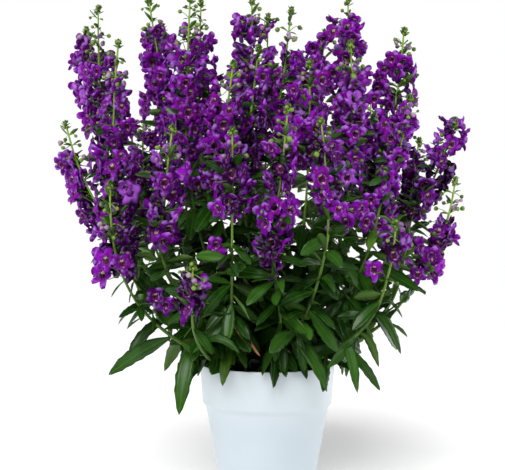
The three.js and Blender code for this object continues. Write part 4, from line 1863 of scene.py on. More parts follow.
@dataclass
class Soil:
    """Peat up to a low dome, lumpy, with crumbs strewn over it.

    Args:
        sides: Number of steps round it.
        rings: Number of steps from its middle to its edge.
        relief: Height of its lumps, in millimetres.
        lump: Breadth of its lumps.
        crumbs: Number of the crumbs' shapes.
        density: Number of crumbs on a square metre.
        smallest: Size of the smallest crumb.
        largest: Size of the largest.
        seed: Seed of the crumbs' places.
        finish: Its peat.
    """

    sides: int = 96
    rings: int = 24
    relief: float = 2.4
    lump: float = 11.0
    crumbs: int = 5
    density: float = 90000.0
    smallest: float = 0.5
    largest: float = 1.7
    seed: int = 4
    finish: SoilFinish = SoilFinish()

    def build(self) -> Object:
        """Builds and dresses the soil.

        Returns:
            The piece.
        """
        inset = WALL + SOIL_GAP
        share = (BAND_HEIGHT - SOIL_EDGE_DROP) / BAND_HEIGHT
        edge = lerp(BAND_FOOT_RADIUS, RIM_RADIUS, share) - inset
        walls = [
            (BAND_FOOT_RADIUS - inset, BAND_FOOT),
            (BODY_TOP_RADIUS - inset, BODY_TOP),
            (FLOOR_RADIUS - inset, FLOOR_THICKNESS + SOIL_GAP),
        ]
        points = [(0.0, 0.0, self.height(0.0, 0.0))]
        for i in range(1, self.rings + 1):
            ring = ring_points(edge * i / self.rings, 0.0, self.sides)
            points += [(x, y, self.height(x, y)) for x, y, _ in ring]
        top = [1] * len(points)
        for radius, height in walls:
            points += ring_points(radius, height, self.sides)
        points.append((0.0, 0.0, walls[-1][1]))
        top += [0] * (len(points) - len(top))
        faces, end = [], 1 + (self.rings + len(walls) - 1) * self.sides
        for k in range(self.sides):
            after = (k + 1) % self.sides
            faces.append((0, 1 + k, 1 + after))
            for inner in range(1, end, self.sides):
                outer = inner + self.sides
                faces.append((inner + k, outer + k, outer + after, inner + after))
            faces.append((end + k, len(points) - 1, end + after))
        mesh = mesh_of("peat_base", points, faces)
        give(mesh, "top", top)
        crumbs = shape_collection("crumbs", [self.crumb(n) for n in range(self.crumbs)])
        values = {"Shapes": crumbs, "Density": self.density, "Smallest": self.smallest,
                  "Largest": self.largest, "Seed": self.seed, "Material": self.finish.material()}
        piece = crumb_tree().grow("peat_soil", placed_object("peat_base", mesh), values)
        settle(piece, Slot.SOIL, "soil")
        return piece

    def height(self, x: float, y: float) -> float:
        """The lumpy height of the soil at a place.

        Args:
            x: The place to the right of the pot's middle.
            y: The place behind it.

        Returns:
            The height.
        """
        place = Vector((x / self.lump, y / self.lump, 0.0))
        lumps = noise.noise(place) + 0.5 * noise.noise(place * 2.7)
        return soil_top(math.hypot(x, y)) + self.relief * (lumps - 0.35)

    @staticmethod
    def crumb(number: int) -> Mesh:
        """One of the crumbs' shapes.

        Args:
            number: The shape's number.

        Returns:
            Its mesh.
        """
        draw = Draws(CRUMB_SEED + number)
        profile = [(0.0, -draw(0.7, 1.1)), (draw(0.8, 1.2), -0.4), (draw(0.9, 1.3), 0.3),
                   (0.0, draw(0.8, 1.1))]
        return turned_shape(f"crumb_{number}", profile, 5)


# Shapes that are copied
@dataclass(frozen=True)
class LobePlan:
    """One lobe of a floret's face.

    Args:
        turn: Degrees clockwise from straight up to the lobe's middle.
        reach: Distance from the throat to its tip, in millimetres.
        spread: Half of its width, in degrees.
        lift: How far its tip stands forward.
        belly: How far its middle stands forward.
        waist: Distance from the throat to the gap after the lobe.
        end: The points of its outline, each as a part of the spread and a share of the reach.
    """

    turn: float
    reach: float
    spread: float
    lift: float
    belly: float
    waist: float
    end: tuple[Pair, ...]


WIDE_END = ((-0.92, 0.81), (-0.52, 0.98), (-0.06, 1.04), (0.42, 0.99), (0.86, 0.82))
SIDE_END = ((-0.9, 0.78), (-0.34, 1.01), (0.34, 1.02), (0.9, 0.79))
TONGUE_END = ((-0.95, 0.8), (-0.38, 1.02), (0.38, 1.02), (0.95, 0.8))
LOBES = (
    LobePlan(40, 13.4, 37, 2.6, 3.0, 6.9, WIDE_END),
    LobePlan(112, 13.0, 28, 0.6, 2.4, 6.7, SIDE_END),
    LobePlan(180, 14.8, 21, -0.8, 3.2, 6.7, TONGUE_END),
    LobePlan(248, 13.0, 28, 0.6, 2.4, 6.9, SIDE_END),
    LobePlan(320, 13.4, 37, 2.6, 3.0, 9.6,
             tuple((-part, share) for part, share in reversed(WIDE_END))),
)


@dataclass
class FloretShapes:
    """The open flowers' shapes: five lobes round a deep throat, closed behind in a short tube.

    Args:
        throat_width: Half width of the throat, in millimetres.
        throat_height: Half height of it.
        throat_depth: How deep it is.
        tube_depth: How far behind the face the tube ends.
    """

    throat_width: float = 4.3
    throat_height: float = 5.4
    throat_depth: float = 7.2
    tube_depth: float = 8.6

    def edge(self, draw: Draws) -> list[Triple]:
        """The points round the lobes of one shape.

        Args:
            draw: The shape's own numbers.

        Returns:
            For each its turn, reach and lift.
        """
        points = []
        for k, lobe in enumerate(LOBES):
            reach = lobe.reach * draw(0.88, 1.08)
            tip = lobe.lift + draw(-3.4, 3.0)
            for part, share in lobe.end:
                turn = lobe.turn + part * lobe.spread + draw(-1, 1)
                lift = tip * share * share + draw(-0.4, 0.4)
                points.append((turn, reach * share * draw(0.98, 1.02), lift))
            after = LOBES[(k + 1) % 5]
            between = (lobe.turn + lobe.spread + (after.turn - after.spread) % 360) / 2
            points.append((360.0 if k == 4 else between, lobe.waist * draw(0.92, 1.08), -0.4))
        return points

    def mesh(self, number: int) -> Mesh:
        """Builds one shape.

        Args:
            number: The shape's number.

        Returns:
            Its mesh, whose "petal" attribute holds the place on the face and the ring.
        """
        draw = Draws(FLORET_SEED + number)
        places: list[Triple] = []
        rings: list[float] = []

        def ring(members: Sequence[Triple], level: float,
                 stretch: float = 1.0) -> list[int]:
            """Adds a ring of points.

            Args:
                members: Turn, reach and lift of each.
                level: What the ring's points are marked with.
                stretch: How much taller the ring is than wide.

            Returns:
                The points' numbers.
            """
            first = len(places)
            for turn, reach, lift in members:
                angle = math.radians(turn)
                places.append((reach * math.sin(angle), reach * stretch * math.cos(angle), lift))
                rings.append(level)
            return list(range(first, len(places)))

        outline = self.edge(draw)
        folds = []
        for k, lobe in enumerate(LOBES):
            gap = outline[(5, 10, 15, 20, 26)[k]]
            folds.append((lobe.turn, lobe.reach * 0.62, lobe.belly + draw(-0.7, 0.7)))
            folds.append((gap[0], gap[1] * (0.92 if k < 4 else 0.8), gap[2] + 0.5))
        turns = [fold[0] for fold in folds]
        few = turns[::2]
        starts = [point[0] for point in outline]
        stretch = self.throat_height / self.throat_width
        edge = ring(outline, 3.0)
        middle = ring(folds, 2.0)
        rim = ring([(t, self.throat_width, 0.5) for t in turns], 1.0, stretch)
        inner = ring([(t, self.throat_width * 0.72, -3.0) for t in few], 0.4, stretch)
        back = ring([(t, 5.2, -2.0) for t in few], 3.4)
        deep, tube = len(places), len(places) + 1
        places += [(0.0, -0.3, -self.throat_depth), (0.0, 0.0, -self.tube_depth)]
        rings += [0.0, 3.8]
        faces = bridge(edge, starts, middle, turns)
        for k in range(10):
            after = (k + 1) % 10
            faces.append((rim[k], rim[after], middle[after], middle[k]))
        faces += bridge(rim, turns, inner, few)
        faces += [(deep, inner[(k + 1) % 5], inner[k]) for k in range(5)]
        faces += [tuple(reversed(face)) for face in bridge(edge, starts, back, few)]
        faces += [(tube, back[k], back[(k + 1) % 5]) for k in range(5)]
        made = mesh_of(f"floret_{number:02d}", places, faces)
        give(made, "petal", [(x, y, level) for (x, y, _), level in zip(places, rings)])
        return made

    def collection(self) -> Collection:
        """All the shapes."""
        return shape_collection("floret shapes", [self.mesh(n) for n in range(FLORET_SHAPES)])


@dataclass
class BladeShapes:
    """Flat leaves on a length of 1 and a half width of 1, with toothed edges in their outer half.

    Args:
        count: Number of shapes.
        rows: Number of rows along each.
        teeth_from: Share of the length where the teeth start.
        notch: How far a notch cuts in, as a share of the half width.
        thickness: Thickness at the rib, as a share of the half width.
    """

    count: int = LEAF_SHAPES
    rows: int = 13
    teeth_from: float = 0.36
    notch: float = 0.13
    thickness: float = 0.12

    @staticmethod
    def width(share: float, widest: float) -> float:
        """The half width at a share of the length.

        Args:
            share: Share of the way from root to tip.
            widest: The share where the blade is widest.

        Returns:
            The half width, at most 1.
        """
        if share < widest:
            rise = share / widest
            return 0.1 + 0.9 * math.sin(rise * math.pi / 2) ** 1.2
        fall = (share - widest) / (1 - widest)
        return max(0.0, 1 - fall**2.5) ** 0.8

    def mesh(self, name: str, number: int) -> Mesh:
        """Builds one blade.

        Args:
            name: The mesh's name.
            number: The shape's number.

        Returns:
            Its mesh, whose "blade" attribute holds the share, the part and 1 on the underside.
        """
        draw = Draws(BLADE_SEED + number)
        widest = draw(0.5, 0.62)
        wave = draw(0.0, 0.12)
        phase = draw(0, 6.28)
        points, marks = [(0.0, 0.0, 0.0)], [(0.0, 0.0, 0.0)]
        for i in range(self.rows):
            share = 0.05 + 0.9 * i / (self.rows - 1)
            tooth = self.notch if share > self.teeth_from and i % 2 else 0.0
            share += 0.02 if tooth else 0.0
            half = self.width(share, widest)
            for part in (-1.0, -0.5, 0.0, 0.5, 1.0):
                out = part * half * (1 - tooth if abs(part) == 1 else 1.0)
                ripple = wave * math.sin(share * 11 + phase + part) * abs(part)
                points.append((share, out, (ripple - (0.0 if part else 0.05)) * half))
                marks.append((share, out, 0.5 if abs(part) == 1 else 0.0))
            points.append((share, 0.0, -self.thickness * (0.4 + 0.6 * half)))
            marks.append((share, 0.0, 1.0))
        tip = len(points)
        points.append((1.0, 0.0, 0.0))
        marks.append((1.0, 0.0, 0.4))
        faces: list[tuple[int, ...]] = []
        last = tip - 6
        for j in range(4):
            faces += [(0, 1 + j, 2 + j), (last + j, tip, last + j + 1)]
        faces += [(0, 6, 1), (0, 5, 6), (last, last + 5, tip), (last + 5, last + 4, tip)]
        for i in range(1, last, 6):
            for j in range(i, i + 4):
                faces.append((j, j + 6, j + 7, j + 1))
            faces.append((i, i + 5, i + 11, i + 6))
            faces.append((i + 5, i + 4, i + 10, i + 11))
        made = mesh_of(name, points, faces, scale=1.0)
        give(made, "blade", marks)
        return made

    def collection(self, name: str) -> Collection:
        """All the shapes."""
        return shape_collection(name, [self.mesh(f"{name}_{n}", n) for n in range(self.count)])


def calyx_mesh() -> Mesh:
    """The five-pointed green cup behind a floret, facing +Z.

    Returns:
        The mesh.
    """
    points = [(0.0, 0.0, -1.0), (0.0, 0.0, 0.5)]
    for k in range(10):
        turn = math.radians(36 * k)
        radius, height = (2.4, 2.4) if k % 2 == 0 else (1.3, 0.6)
        points.append((radius * math.sin(turn), radius * math.cos(turn), height))
    faces = []
    for k in range(10):
        here, after = 2 + k, 2 + (k + 1) % 10
        faces += [(0, here, after), (1, after, here)]
    mesh = mesh_of("bud_0_cup", points, faces)
    give(mesh, "petal", [(0.0, 0.0, level) for level in (0.0, 0.3, *[0.5] * 10)])
    return mesh


def bud_collection() -> Collection:
    """The green cup and the closed buds, facing +Z and 1 mm in radius.

    Returns:
        Their shapes, in the order of BudShape.
    """
    rounded = [(0, -0.9), (0.62, -0.75), (1.0, 0.0), (0.72, 0.7), (0, 1.0)]
    pointed = [(0, -1.0), (0.6, -0.8), (1.0, -0.1), (0.62, 0.8), (0, 1.35)]
    return shape_collection("bud shapes", [
        calyx_mesh(), turned_shape("bud_1_round", rounded, 7),
        turned_shape("bud_2_pointed", pointed, 6)])


def young_collection() -> Collection:
    """The half-open buds, facing +Z and 1 mm in radius.

    Returns:
        Their shapes.
    """
    narrow = [(0, -1.2), (0.5, -1.0), (0.95, -0.2), (0.9, 0.5), (0.45, 0.95), (0, 0.85)]
    wide = [(0, -1.2), (0.5, -1.0), (1.0, -0.1), (1.05, 0.6), (0.6, 0.8), (0, 0.4)]
    return shape_collection("young shapes", [
        turned_shape("young_0", narrow, 8), turned_shape("young_1", wide, 8)])


# Flowers
@dataclass(frozen=True)
class Bloom:
    """One open flower on a spike.

    Args:
        node: Where its stalk leaves the stem.
        turn: Its direction round the stem, in degrees.
        centre: The middle of its face.
        across: The direction to the right on its face.
        upward: The direction up on its face.
        size: Its size, 1 being full.
        tint: Its place among the violets, from 0 to 1, with painted light and shade added.
        shape: Number of its shape.
        share: Its place from the lowest flower to the highest.
    """

    node: Array
    turn: float
    centre: Array
    across: Array
    upward: Array
    size: float
    tint: float
    shape: int
    share: float

    @property
    def outward(self) -> Array:
        """The direction that it faces."""
        return np.cross(self.across, self.upward)


@dataclass
class Spike:
    """The flowers and buds at the top of a stem, with their stalks.

    Args:
        stem: The stem.
        spacing: Length of stem for each open flower.
        reach_low: Reach of a low flower's face from the stem.
        reach_high: Reach of a high one's.
        near_share: Share of the flowers that stand near the stem.
        lilac_share: Share of them that are lilac.
        painted_light_height: Height where the tints aren't changed.
        painted_light_span: Height over which they rise by 1.
        painted_shade_height: Height below which the flowers at the back are darker.
        painted_shade_span: Height over which they grow darker.
        painted_shade_share: How much darker they are there.
    """

    stem: Stem
    spacing: float = 3.25
    reach_low: float = 18.5
    reach_high: float = 14.0
    near_share: float = 0.82
    lilac_share: float = 0.022
    # Painted light and shade on the tints: brighter higher up, darker lower down and at the back.
    painted_light_height: float = 435.0
    painted_light_span: float = 300.0
    painted_shade_height: float = 440.0
    painted_shade_span: float = 80.0
    painted_shade_share: float = 0.75
    blooms: list[Bloom] = field(default_factory=list)

    def __post_init__(self) -> None:
        """Places the open flowers round the stem."""
        stem, plan, habit = self.stem, self.stem.plan, self.stem.habit
        draw = Draws(SPIKE_SEED + stem.number)
        count = max(6, round((plan.flowers + habit.tail) / self.spacing))
        first = draw(0, 360)
        for i in range(count):
            share = i / (count - 1)
            highest = stem.line.length - plan.buds - 4 - habit.crown
            along = lerp(stem.lowest_floret + 4 - habit.tail, highest, share)
            lacking = habit.thin if along > stem.lowest_floret else 0.3
            turn = first + i * GOLDEN_ANGLE + draw(-18, 18)
            side = level_at(turn)
            depth = draw(0.5, 1.25) if draw(0, 1) < self.near_share else draw(1.25, 1.7)
            reach = lerp(self.reach_low, self.reach_high, share) * depth * habit.breadth
            node = stem.place(along - draw(2, 8))
            centre = stem.place(along) + side * reach + UP * draw(-7, 6)
            centre[0] += habit.shift
            facing = level_at(turn + draw(-50, 50))
            pitch = draw(-38, 30)
            across = np.cross(UP, facing)
            outward = turned(facing, across, -pitch)
            across = turned(across, outward, draw(-28, 28))
            upward = np.cross(outward, across)
            size = lerp(0.97, 0.87, share**1.5) * draw(0.87, 1.13)
            # Painted shade: flowers close to the stem get lower tints, those far out higher ones.
            tint = draw(0.0, 0.95) + (min(depth, 1.25) - 0.95) * 1.1
            # Painted light: tints rise above a middle height and fall below it.
            tint = min(0.98, tint + (centre[2] - self.painted_light_height) / self.painted_light_span)
            # Painted shade: low flowers towards the back are darker.
            low = clamp((self.painted_shade_height - centre[2]) / self.painted_shade_span)
            tint -= self.painted_shade_share * low * clamp((centre[1] + 35) / 70)
            if draw(0, 1) < self.lilac_share + habit.light:
                tint = draw(1.05, 1.25)
            bloom = Bloom(node, turn, centre, across, upward, size, tint,
                          draw.pick(FLORET_SHAPES, 0.001), share)
            hides = along > highest - habit.bare and side[1] < -0.78 and depth > 0.7
            if draw(0, 1) >= lacking and not hides:
                self.blooms.append(bloom)
        for x, y, z, tint in habit.strays:
            self.add_stray(np.array((x, y, z)), tint, draw)

    def add_stray(self, centre: Array, tint: float, draw: Draws) -> None:
        """Adds a single flower away from the rest, on a long stalk.

        Args:
            centre: The middle of its face.
            tint: Its place among the violets.
            draw: The numbers in use.
        """
        stem = self.stem
        alongs = np.arange(stem.buried + 20, stem.line.length, 3.0)
        near = min(alongs, key=lambda along: math.dist(stem.place(float(along)), centre - UP * 8))
        facing = unit(np.array((draw(-0.5, 0.5), -1.0, draw(-0.4, 0.2))))
        self.blooms.append(Bloom(stem.place(float(near)), draw(0, 360), centre, *upright(facing),
                                 draw(0.8, 0.95), tint, draw.pick(FLORET_SHAPES, 0.001), 0.2))

    def young(self) -> list[tuple[Array, Array, Array, Array, float, float]]:
        """The half-open buds between the flowers and the green tip.

        Returns:
            For each its node, centre, across, upward, radius and tint.
        """
        stem, buds = self.stem, self.stem.plan.buds
        draw = Draws(YOUNG_SEED + stem.number)
        made = []
        for _ in range(3 + round(buds / 14)):
            along = stem.line.length - buds + draw(-10, min(10.0, buds * 0.5))
            side = level_at(draw(0, 360))
            node = stem.place(along - 3)
            centre = stem.place(along) + side * draw(8, 13) + UP * draw(-2, 5)
            outward = unit(side + UP * draw(-0.9, 0.3))
            made.append((node, centre, *upright(outward), draw(2.1, 3.3), draw(0, 1)))
        return made


@dataclass
class Blossoms:
    """The petals of one spike: its open flowers and half-open buds.

    Args:
        spike: The spike.
    """

    spike: Spike

    def build(self, shapes: "Shapes") -> Object:
        """Builds and dresses the petals.

        Args:
            shapes: What is copied.

        Returns:
            The piece.
        """
        number = self.spike.stem.number + 1
        florets, young = PointSet(), PointSet()
        for bloom in self.spike.blooms:
            florets.add_copy(bloom.centre, bloom.across, bloom.upward, bloom.size, bloom.tint,
                             bloom.shape)
        for i, (_, *bud) in enumerate(self.spike.young()):
            young.add_copy(*bud, i % 2)
        values = {"Shapes": shapes.florets, "Material": shapes.petal}
        open_flowers = shapes.frames.grow("florets", florets.source("floret points"), values)
        values = {"Shapes": shapes.young, "Material": shapes.young_petal}
        half_open = shapes.frames.grow("young", young.source("young points"), values)
        piece = joined(f"blossoms_{number:02d}", [open_flowers, half_open])
        settle(piece, Slot.PETALS, f"flower_spike_{number}")
        return piece


@dataclass
class Shapes:
    """What is copied over the plant: shapes, trees and materials, each made once."""

    frames: ShapeTree = field(default_factory=frame_tree)
    blades: ShapeTree = field(default_factory=blade_tree)
    tubes: ShapeTree = field(default_factory=tube_tree)
    florets: Collection = field(default_factory=FloretShapes().collection)
    leaves: Collection = field(default_factory=lambda: BladeShapes().collection("leaf"))
    bracts: Collection = field(
        default_factory=lambda: BladeShapes(BRACT_SHAPES, 4, teeth_from=2.0).collection("bract"))
    buds: Collection = field(default_factory=bud_collection)
    young: Collection = field(default_factory=young_collection)
    petal: Material = field(default_factory=PetalFinish().material)
    young_petal: Material = field(default_factory=YoungPetalFinish().material)
    leaf: Material = field(default_factory=LeafFinish().material)
    stem: Material = field(default_factory=StemFinish().material)
    bud: Material = field(default_factory=BudFinish().material)


# Foliage
@dataclass
class Foliage:
    """The green of one plant: its stems, leaves, stalks, cups, bracts and green buds.

    Args:
        plant: Number of the plant, from 0.
        layout: Where everything grows.
        spikes: The spikes of the plant.
        leaf_spacing: Length of stem for each pair of leaves.
        stalk_radius: Radius of a flower's stalk.
        rod_steps: Number of steps along a stem.
        joint_spacing: Length of stem from joint to joint.
        joint_swell: How much thicker a stem is at a joint, as a share of its radius.
        capsule_share: Share of the flowers with a capsule beside them.
        crown_bracts: Number of the small leaves at a stem's very tip.
        crown_buds: Number of the buds there.
    """

    plant: int
    layout: Layout
    spikes: list[Spike]
    leaf_spacing: float = 14.0
    stalk_radius: float = 0.45
    rod_steps: int = 72
    joint_spacing: float = 18.0
    joint_swell: float = 0.16
    capsule_share: float = 0.42
    crown_bracts: int = 14
    crown_buds: int = 8
    leaves: PointSet = field(default_factory=PointSet)
    bracts: PointSet = field(default_factory=PointSet)
    buds: PointSet = field(default_factory=PointSet)
    rods: LineSet = field(default_factory=LineSet)
    stalks: LineSet = field(default_factory=LineSet)

    @staticmethod
    def add_blade(points: PointSet, blade: Blade, shapes: int) -> None:
        """Adds a blade to the points of its kind, which has so many shapes."""
        own = {name: float(getattr(blade, name))
               for name in ("rise", "droop", "twist", "sweep", "tint")}
        points.add(
            origin=blade.root, side=blade.side, left=blade.left, length=blade.length * MM,
            half=blade.half_width * MM, **own, shade=shade_at(blade.point(0.6, 0.0)),
            shape=blade.shape % shapes,
        )

    def add_leaf(self, blade: Blade) -> None:
        """Adds a leaf."""
        self.add_blade(self.leaves, blade, LEAF_SHAPES)

    def add_bract(self, blade: Blade) -> None:
        """Adds a bract."""
        self.add_blade(self.bracts, blade, BRACT_SHAPES)

    def add_stem(self, stem: Stem) -> None:
        """Adds a stem's rod, with a ring at each joint.

        Args:
            stem: The stem.
        """
        shares = [i / self.rod_steps for i in range(self.rod_steps + 1)]
        line = [stem.curve(t) for t in shares]
        radii = []
        for t in shares:
            joint = math.cos(2 * math.pi * t * stem.line.length / self.joint_spacing)
            radius = max(0.9, stem.line.radius(t) * lerp(0.95, 0.68, t))
            radii.append(radius * (1 + self.joint_swell * max(0.0, joint) ** 6))
        base = 0.0 if stem.buried else 0.25
        self.rods.add(line, radii, [lerp(base, 1.0, t) for t in shares])

    def add_plan_leaves(self) -> None:
        """Adds the leaves that the solids have too."""
        draw = Draws(PLAN_LEAF_SEED + self.plant)
        for stem, blade in self.layout.blades:
            if stem.plant != self.plant:
                continue
            blade.twist = draw(-0.25, 0.25)
            blade.sweep = draw(-0.08, 0.08)
            blade.tint = 0.8 * draw(0.0, 1.0) ** 1.8
            blade.half_width *= draw(0.85, 1.05)
            share = stem.line.share_at(stem.line.length_to(blade.root[2]))
            blade.root = blade.root + stem.curve(share) - stem.line.curve(share)
            blade.face(outlook(blade.root, draw))
            self.add_leaf(blade)

    def add_shown_leaves(self) -> None:
        """Adds the leaves that stand out at the front."""
        for stem, blade in self.layout.shown:
            if stem.plant == self.plant:
                self.add_leaf(blade)

    def try_leaf(self, blade: Blade) -> bool:
        """Adds a leaf if it is clear of the pot and stays within the plant's spread.

        Args:
            blade: The leaf.

        Returns:
            Whether it was added.
        """
        tip = blade.point(1.0, 0.0)
        if math.hypot(tip[0], tip[1]) > spread_at(tip[2]):
            return False
        if not all(clear_of_pot(point) for point in blade.samples()):
            return False
        self.add_leaf(blade)
        return True

    def add_more_leaves(self, stem: Stem) -> None:
        """Adds the pairs of leaves between those of the solids, and small ones at their feet.

        Args:
            stem: The stem.
        """
        draw = Draws(MORE_LEAF_SEED + stem.number)
        highest = stem.lowest_floret - 2 - max(0.0, stem.habit.tail) * 0.5
        along, level = stem.first_leaf, 0
        while along < highest:
            share = (along - stem.first_leaf) / max(1.0, highest - stem.first_leaf)
            root = stem.place(along)
            for half in (0, 180):
                turn = stem.leaf_turn + level * 90 + half + draw(-30, 30)
                span = lerp(56, 38, share) * draw(0.8, 1.15)
                if draw(0, 1) < lerp(0.45, 0.0, min(1.0, (root[2] - 130) / 110)):
                    continue
                for _ in range(3):
                    lean = lerp(-58, -4, share**0.8)
                    if self.try_leaf(STEM_LEAF.draw(draw, root, turn, span, lean)):
                        break
                    turn, span = turn + draw(-50, 50), span * 0.85
                if draw(0, 1) < 0.5:
                    self.try_leaf(SMALL_LEAF.draw(draw, root, turn + draw(-50, 50)))
            along += self.leaf_spacing * draw(0.8, 1.2)
            level += 1

    def add_low_leaves(self, stem: Stem) -> None:
        """Adds leaves low on a main stem, which lean out over the soil and the rim.

        Args:
            stem: The stem.
        """
        draw = Draws(LOW_LEAF_SEED + stem.number)
        foot = stem.line.curve(0.0)
        away = math.degrees(math.atan2(foot[1], foot[0]))
        for _ in range(4):
            root = stem.place(stem.buried + draw(10, 62))
            turn = away + draw(-75, 75)
            for _ in range(4):
                if self.try_leaf(LOW_LEAF.draw(draw, root, turn)):
                    break
                turn += draw(-60, 60)

    def add_stalk(self, node: Array, end: Array, outward: Array,
                  height: float) -> None:
        """Adds a thin stalk from a stem to the back of a flower or bud.

        Args:
            node: Where it leaves the stem.
            end: The back of the flower.
            outward: The direction that the flower faces.
            height: How far up the plant's colours it is.
        """
        span = float(np.linalg.norm(end - node))
        away = unit(np.array((end[0] - node[0], end[1] - node[1], 1e-6)))
        controls = (node, node + (away + UP) * span * 0.25, end - outward * span * 0.3, end)
        line = []
        for i in range(5):
            t = i / 4
            weights = ((1 - t) ** 3, 3 * t * (1 - t) ** 2, 3 * t * t * (1 - t), t**3)
            line.append(sum(w * c for w, c in zip(weights, controls)))
        self.stalks.add(line, [self.stalk_radius * lerp(1.25, 0.9, i / 4) for i in range(5)],
                        [height] * 5)

    def add_flower_greens(self, spike: Spike) -> None:
        """Adds the stalks, cups and bracts of a spike's flowers.

        Args:
            spike: The spike.
        """
        draw = Draws(GREENS_SEED + spike.stem.number)
        for bloom in spike.blooms:
            neck = bloom.centre - bloom.outward * 8.8 * bloom.size
            self.add_stalk(bloom.node, neck, bloom.outward, draw(0.55, 0.95))
            self.buds.add_copy(neck, bloom.across, bloom.upward, draw(0.85, 1.1), draw(0.0, 0.5),
                               BudShape.CUP.value)
            length = lerp(21, 11, bloom.share) * draw(0.75, 1.25)
            self.add_bract(Blade(
                bloom.node, bloom.turn + draw(-20, 20), length, draw(0.5, 1.3), draw(0.2, 0.9),
                draw(-20, 20), 0.18, tint=draw(0.0, 0.6), shape=draw.pick(BRACT_SHAPES)))
            if draw(0, 1) < self.capsule_share:
                self.add_capsule(bloom, draw)
            if draw(0, 1) < lerp(0.5, 0.0, bloom.share):
                self.add_leaf(SPIKE_LEAF.draw(draw, bloom.node, bloom.turn + draw(-90, 90)))
        for node, centre, across, upward, radius, _ in spike.young():
            outward = np.cross(across, upward)
            back = centre - outward * radius
            self.add_stalk(node, back, outward, draw(0.8, 1.0))
            self.buds.add_copy(back + outward * 0.8, across, upward, 1.0, draw(0.2, 0.7),
                               BudShape.CUP.value)

    def add_capsule(self, bloom: Bloom, draw: Draws) -> None:
        """Adds a round green capsule on a stalk beside a flower.

        Args:
            bloom: The flower.
            draw: The numbers in use.
        """
        side = level_at(bloom.turn + draw(40, 140))
        centre = bloom.node + side * draw(9, 19) + UP * draw(-4, 7)
        outward = unit(side + UP * draw(-0.6, 0.6))
        radius = draw(1.4, 2.5)
        self.buds.add_copy(centre, *upright(outward), radius, draw(-0.5, 0.6),
                           BudShape.ROUND.value + draw.pick(2))
        self.add_stalk(bloom.node, centre - outward * radius * 0.8, outward, draw(0.6, 1.0))

    def add_green_tip(self, spike: Spike) -> None:
        """Adds the green buds and bracts above a spike's flowers.

        Args:
            spike: The spike.
        """
        stem, buds = spike.stem, spike.stem.plan.buds
        draw = Draws(TIP_SEED + stem.number)
        length = stem.line.length
        along, turn = length - buds - 6, draw(0, 360)
        while along < length - 7:
            share = max(0.0, (along - (length - buds)) / buds)
            node = stem.place(along)
            for half in (0, 180):
                side = level_at(turn + half + draw(-20, 20))
                reach = lerp(14.0, 8.0, share) * draw(0.75, 1.25)
                centre = node + side * reach + UP * reach * draw(-0.5, 0.6)
                outward = unit(side + UP * draw(-1.2, 0.6))
                radius = lerp(3.0, 1.9, share) * draw(0.8, 1.2)
                if draw(0, 1) < 0.85:
                    self.buds.add_copy(centre, *upright(outward), radius, draw(0.1, 1.0),
                                       BudShape.ROUND.value + draw.pick(2))
                    self.add_stalk(node, centre - outward * radius * 0.8, outward, 1.0)
                bract_turn = turn + half + draw(-25, 25)
                self.add_bract(Blade(
                    node, bract_turn, lerp(12.0, 8.5, share) * draw(0.8, 1.2), draw(-0.2, 0.9),
                    draw(-0.5, 0.4), draw(-40, 40), 0.24, tint=draw(0.4, 1.1),
                    shape=draw.pick(BRACT_SHAPES)))
            along += lerp(12.0, 8.0, share)
            turn += 90 + draw(-15, 15)
        self.add_crown(stem, draw)

    def add_crown(self, stem: Stem, draw: Draws) -> None:
        """Adds the small tight leaves and buds at a stem's very tip.

        Args:
            stem: The stem.
            draw: The numbers in use.
        """
        tip = stem.place(stem.line.length)
        for k in range(self.crown_bracts):
            share = k / self.crown_bracts
            self.add_bract(Blade(
                tip - UP * 8.0 * share**1.3, k * GOLDEN_ANGLE + draw(-20, 20),
                lerp(2.6, 7.2, share), lerp(1.5, 0.3, share), draw(-0.3, 0.1), draw(-30, 30),
                0.27, tint=draw(0.85, 1.35), shape=k))
        for k in range(self.crown_buds):
            outward = unit(level_at(k * GOLDEN_ANGLE) + UP * draw(-0.2, 1.4))
            centre = tip - UP * draw(0, 7) + outward * draw(1.6, 4.0)
            self.buds.add_copy(centre, *upright(outward), draw(1.4, 2.5), draw(0.3, 1.0),
                               BudShape.ROUND.value)

    def build(self, shapes: Shapes) -> Object:
        """Builds and dresses the plant's green.

        Args:
            shapes: What is copied.

        Returns:
            The piece.
        """
        self.add_plan_leaves()
        self.add_shown_leaves()
        for spike in self.spikes:
            self.add_stem(spike.stem)
            self.add_more_leaves(spike.stem)
            if spike.stem.buried:
                self.add_low_leaves(spike.stem)
            self.add_flower_greens(spike)
            self.add_green_tip(spike)
        parts = (
            ("rods", shapes.tubes, self.rods, {"Sides": 8, "Material": shapes.stem}),
            ("stalks", shapes.tubes, self.stalks, {"Sides": 4, "Material": shapes.stem}),
            ("leaves", shapes.blades, self.leaves,
             {"Shapes": shapes.leaves, "Fold": LEAF_FOLD, "Material": shapes.leaf}),
            ("bracts", shapes.blades, self.bracts,
             {"Shapes": shapes.bracts, "Fold": BRACT_FOLD, "Material": shapes.leaf}),
            ("buds", shapes.frames, self.buds, {"Shapes": shapes.buds, "Material": shapes.bud}),
        )
        made = [tree.grow(name, source.source(f"{name} source"), values)
                for name, tree, source, values in parts]
        number = self.plant + 1
        piece = joined(f"foliage_{number:02d}", made)
        settle(piece, Slot.FOLIAGE, f"leafy_stem_{number}")
        return piece


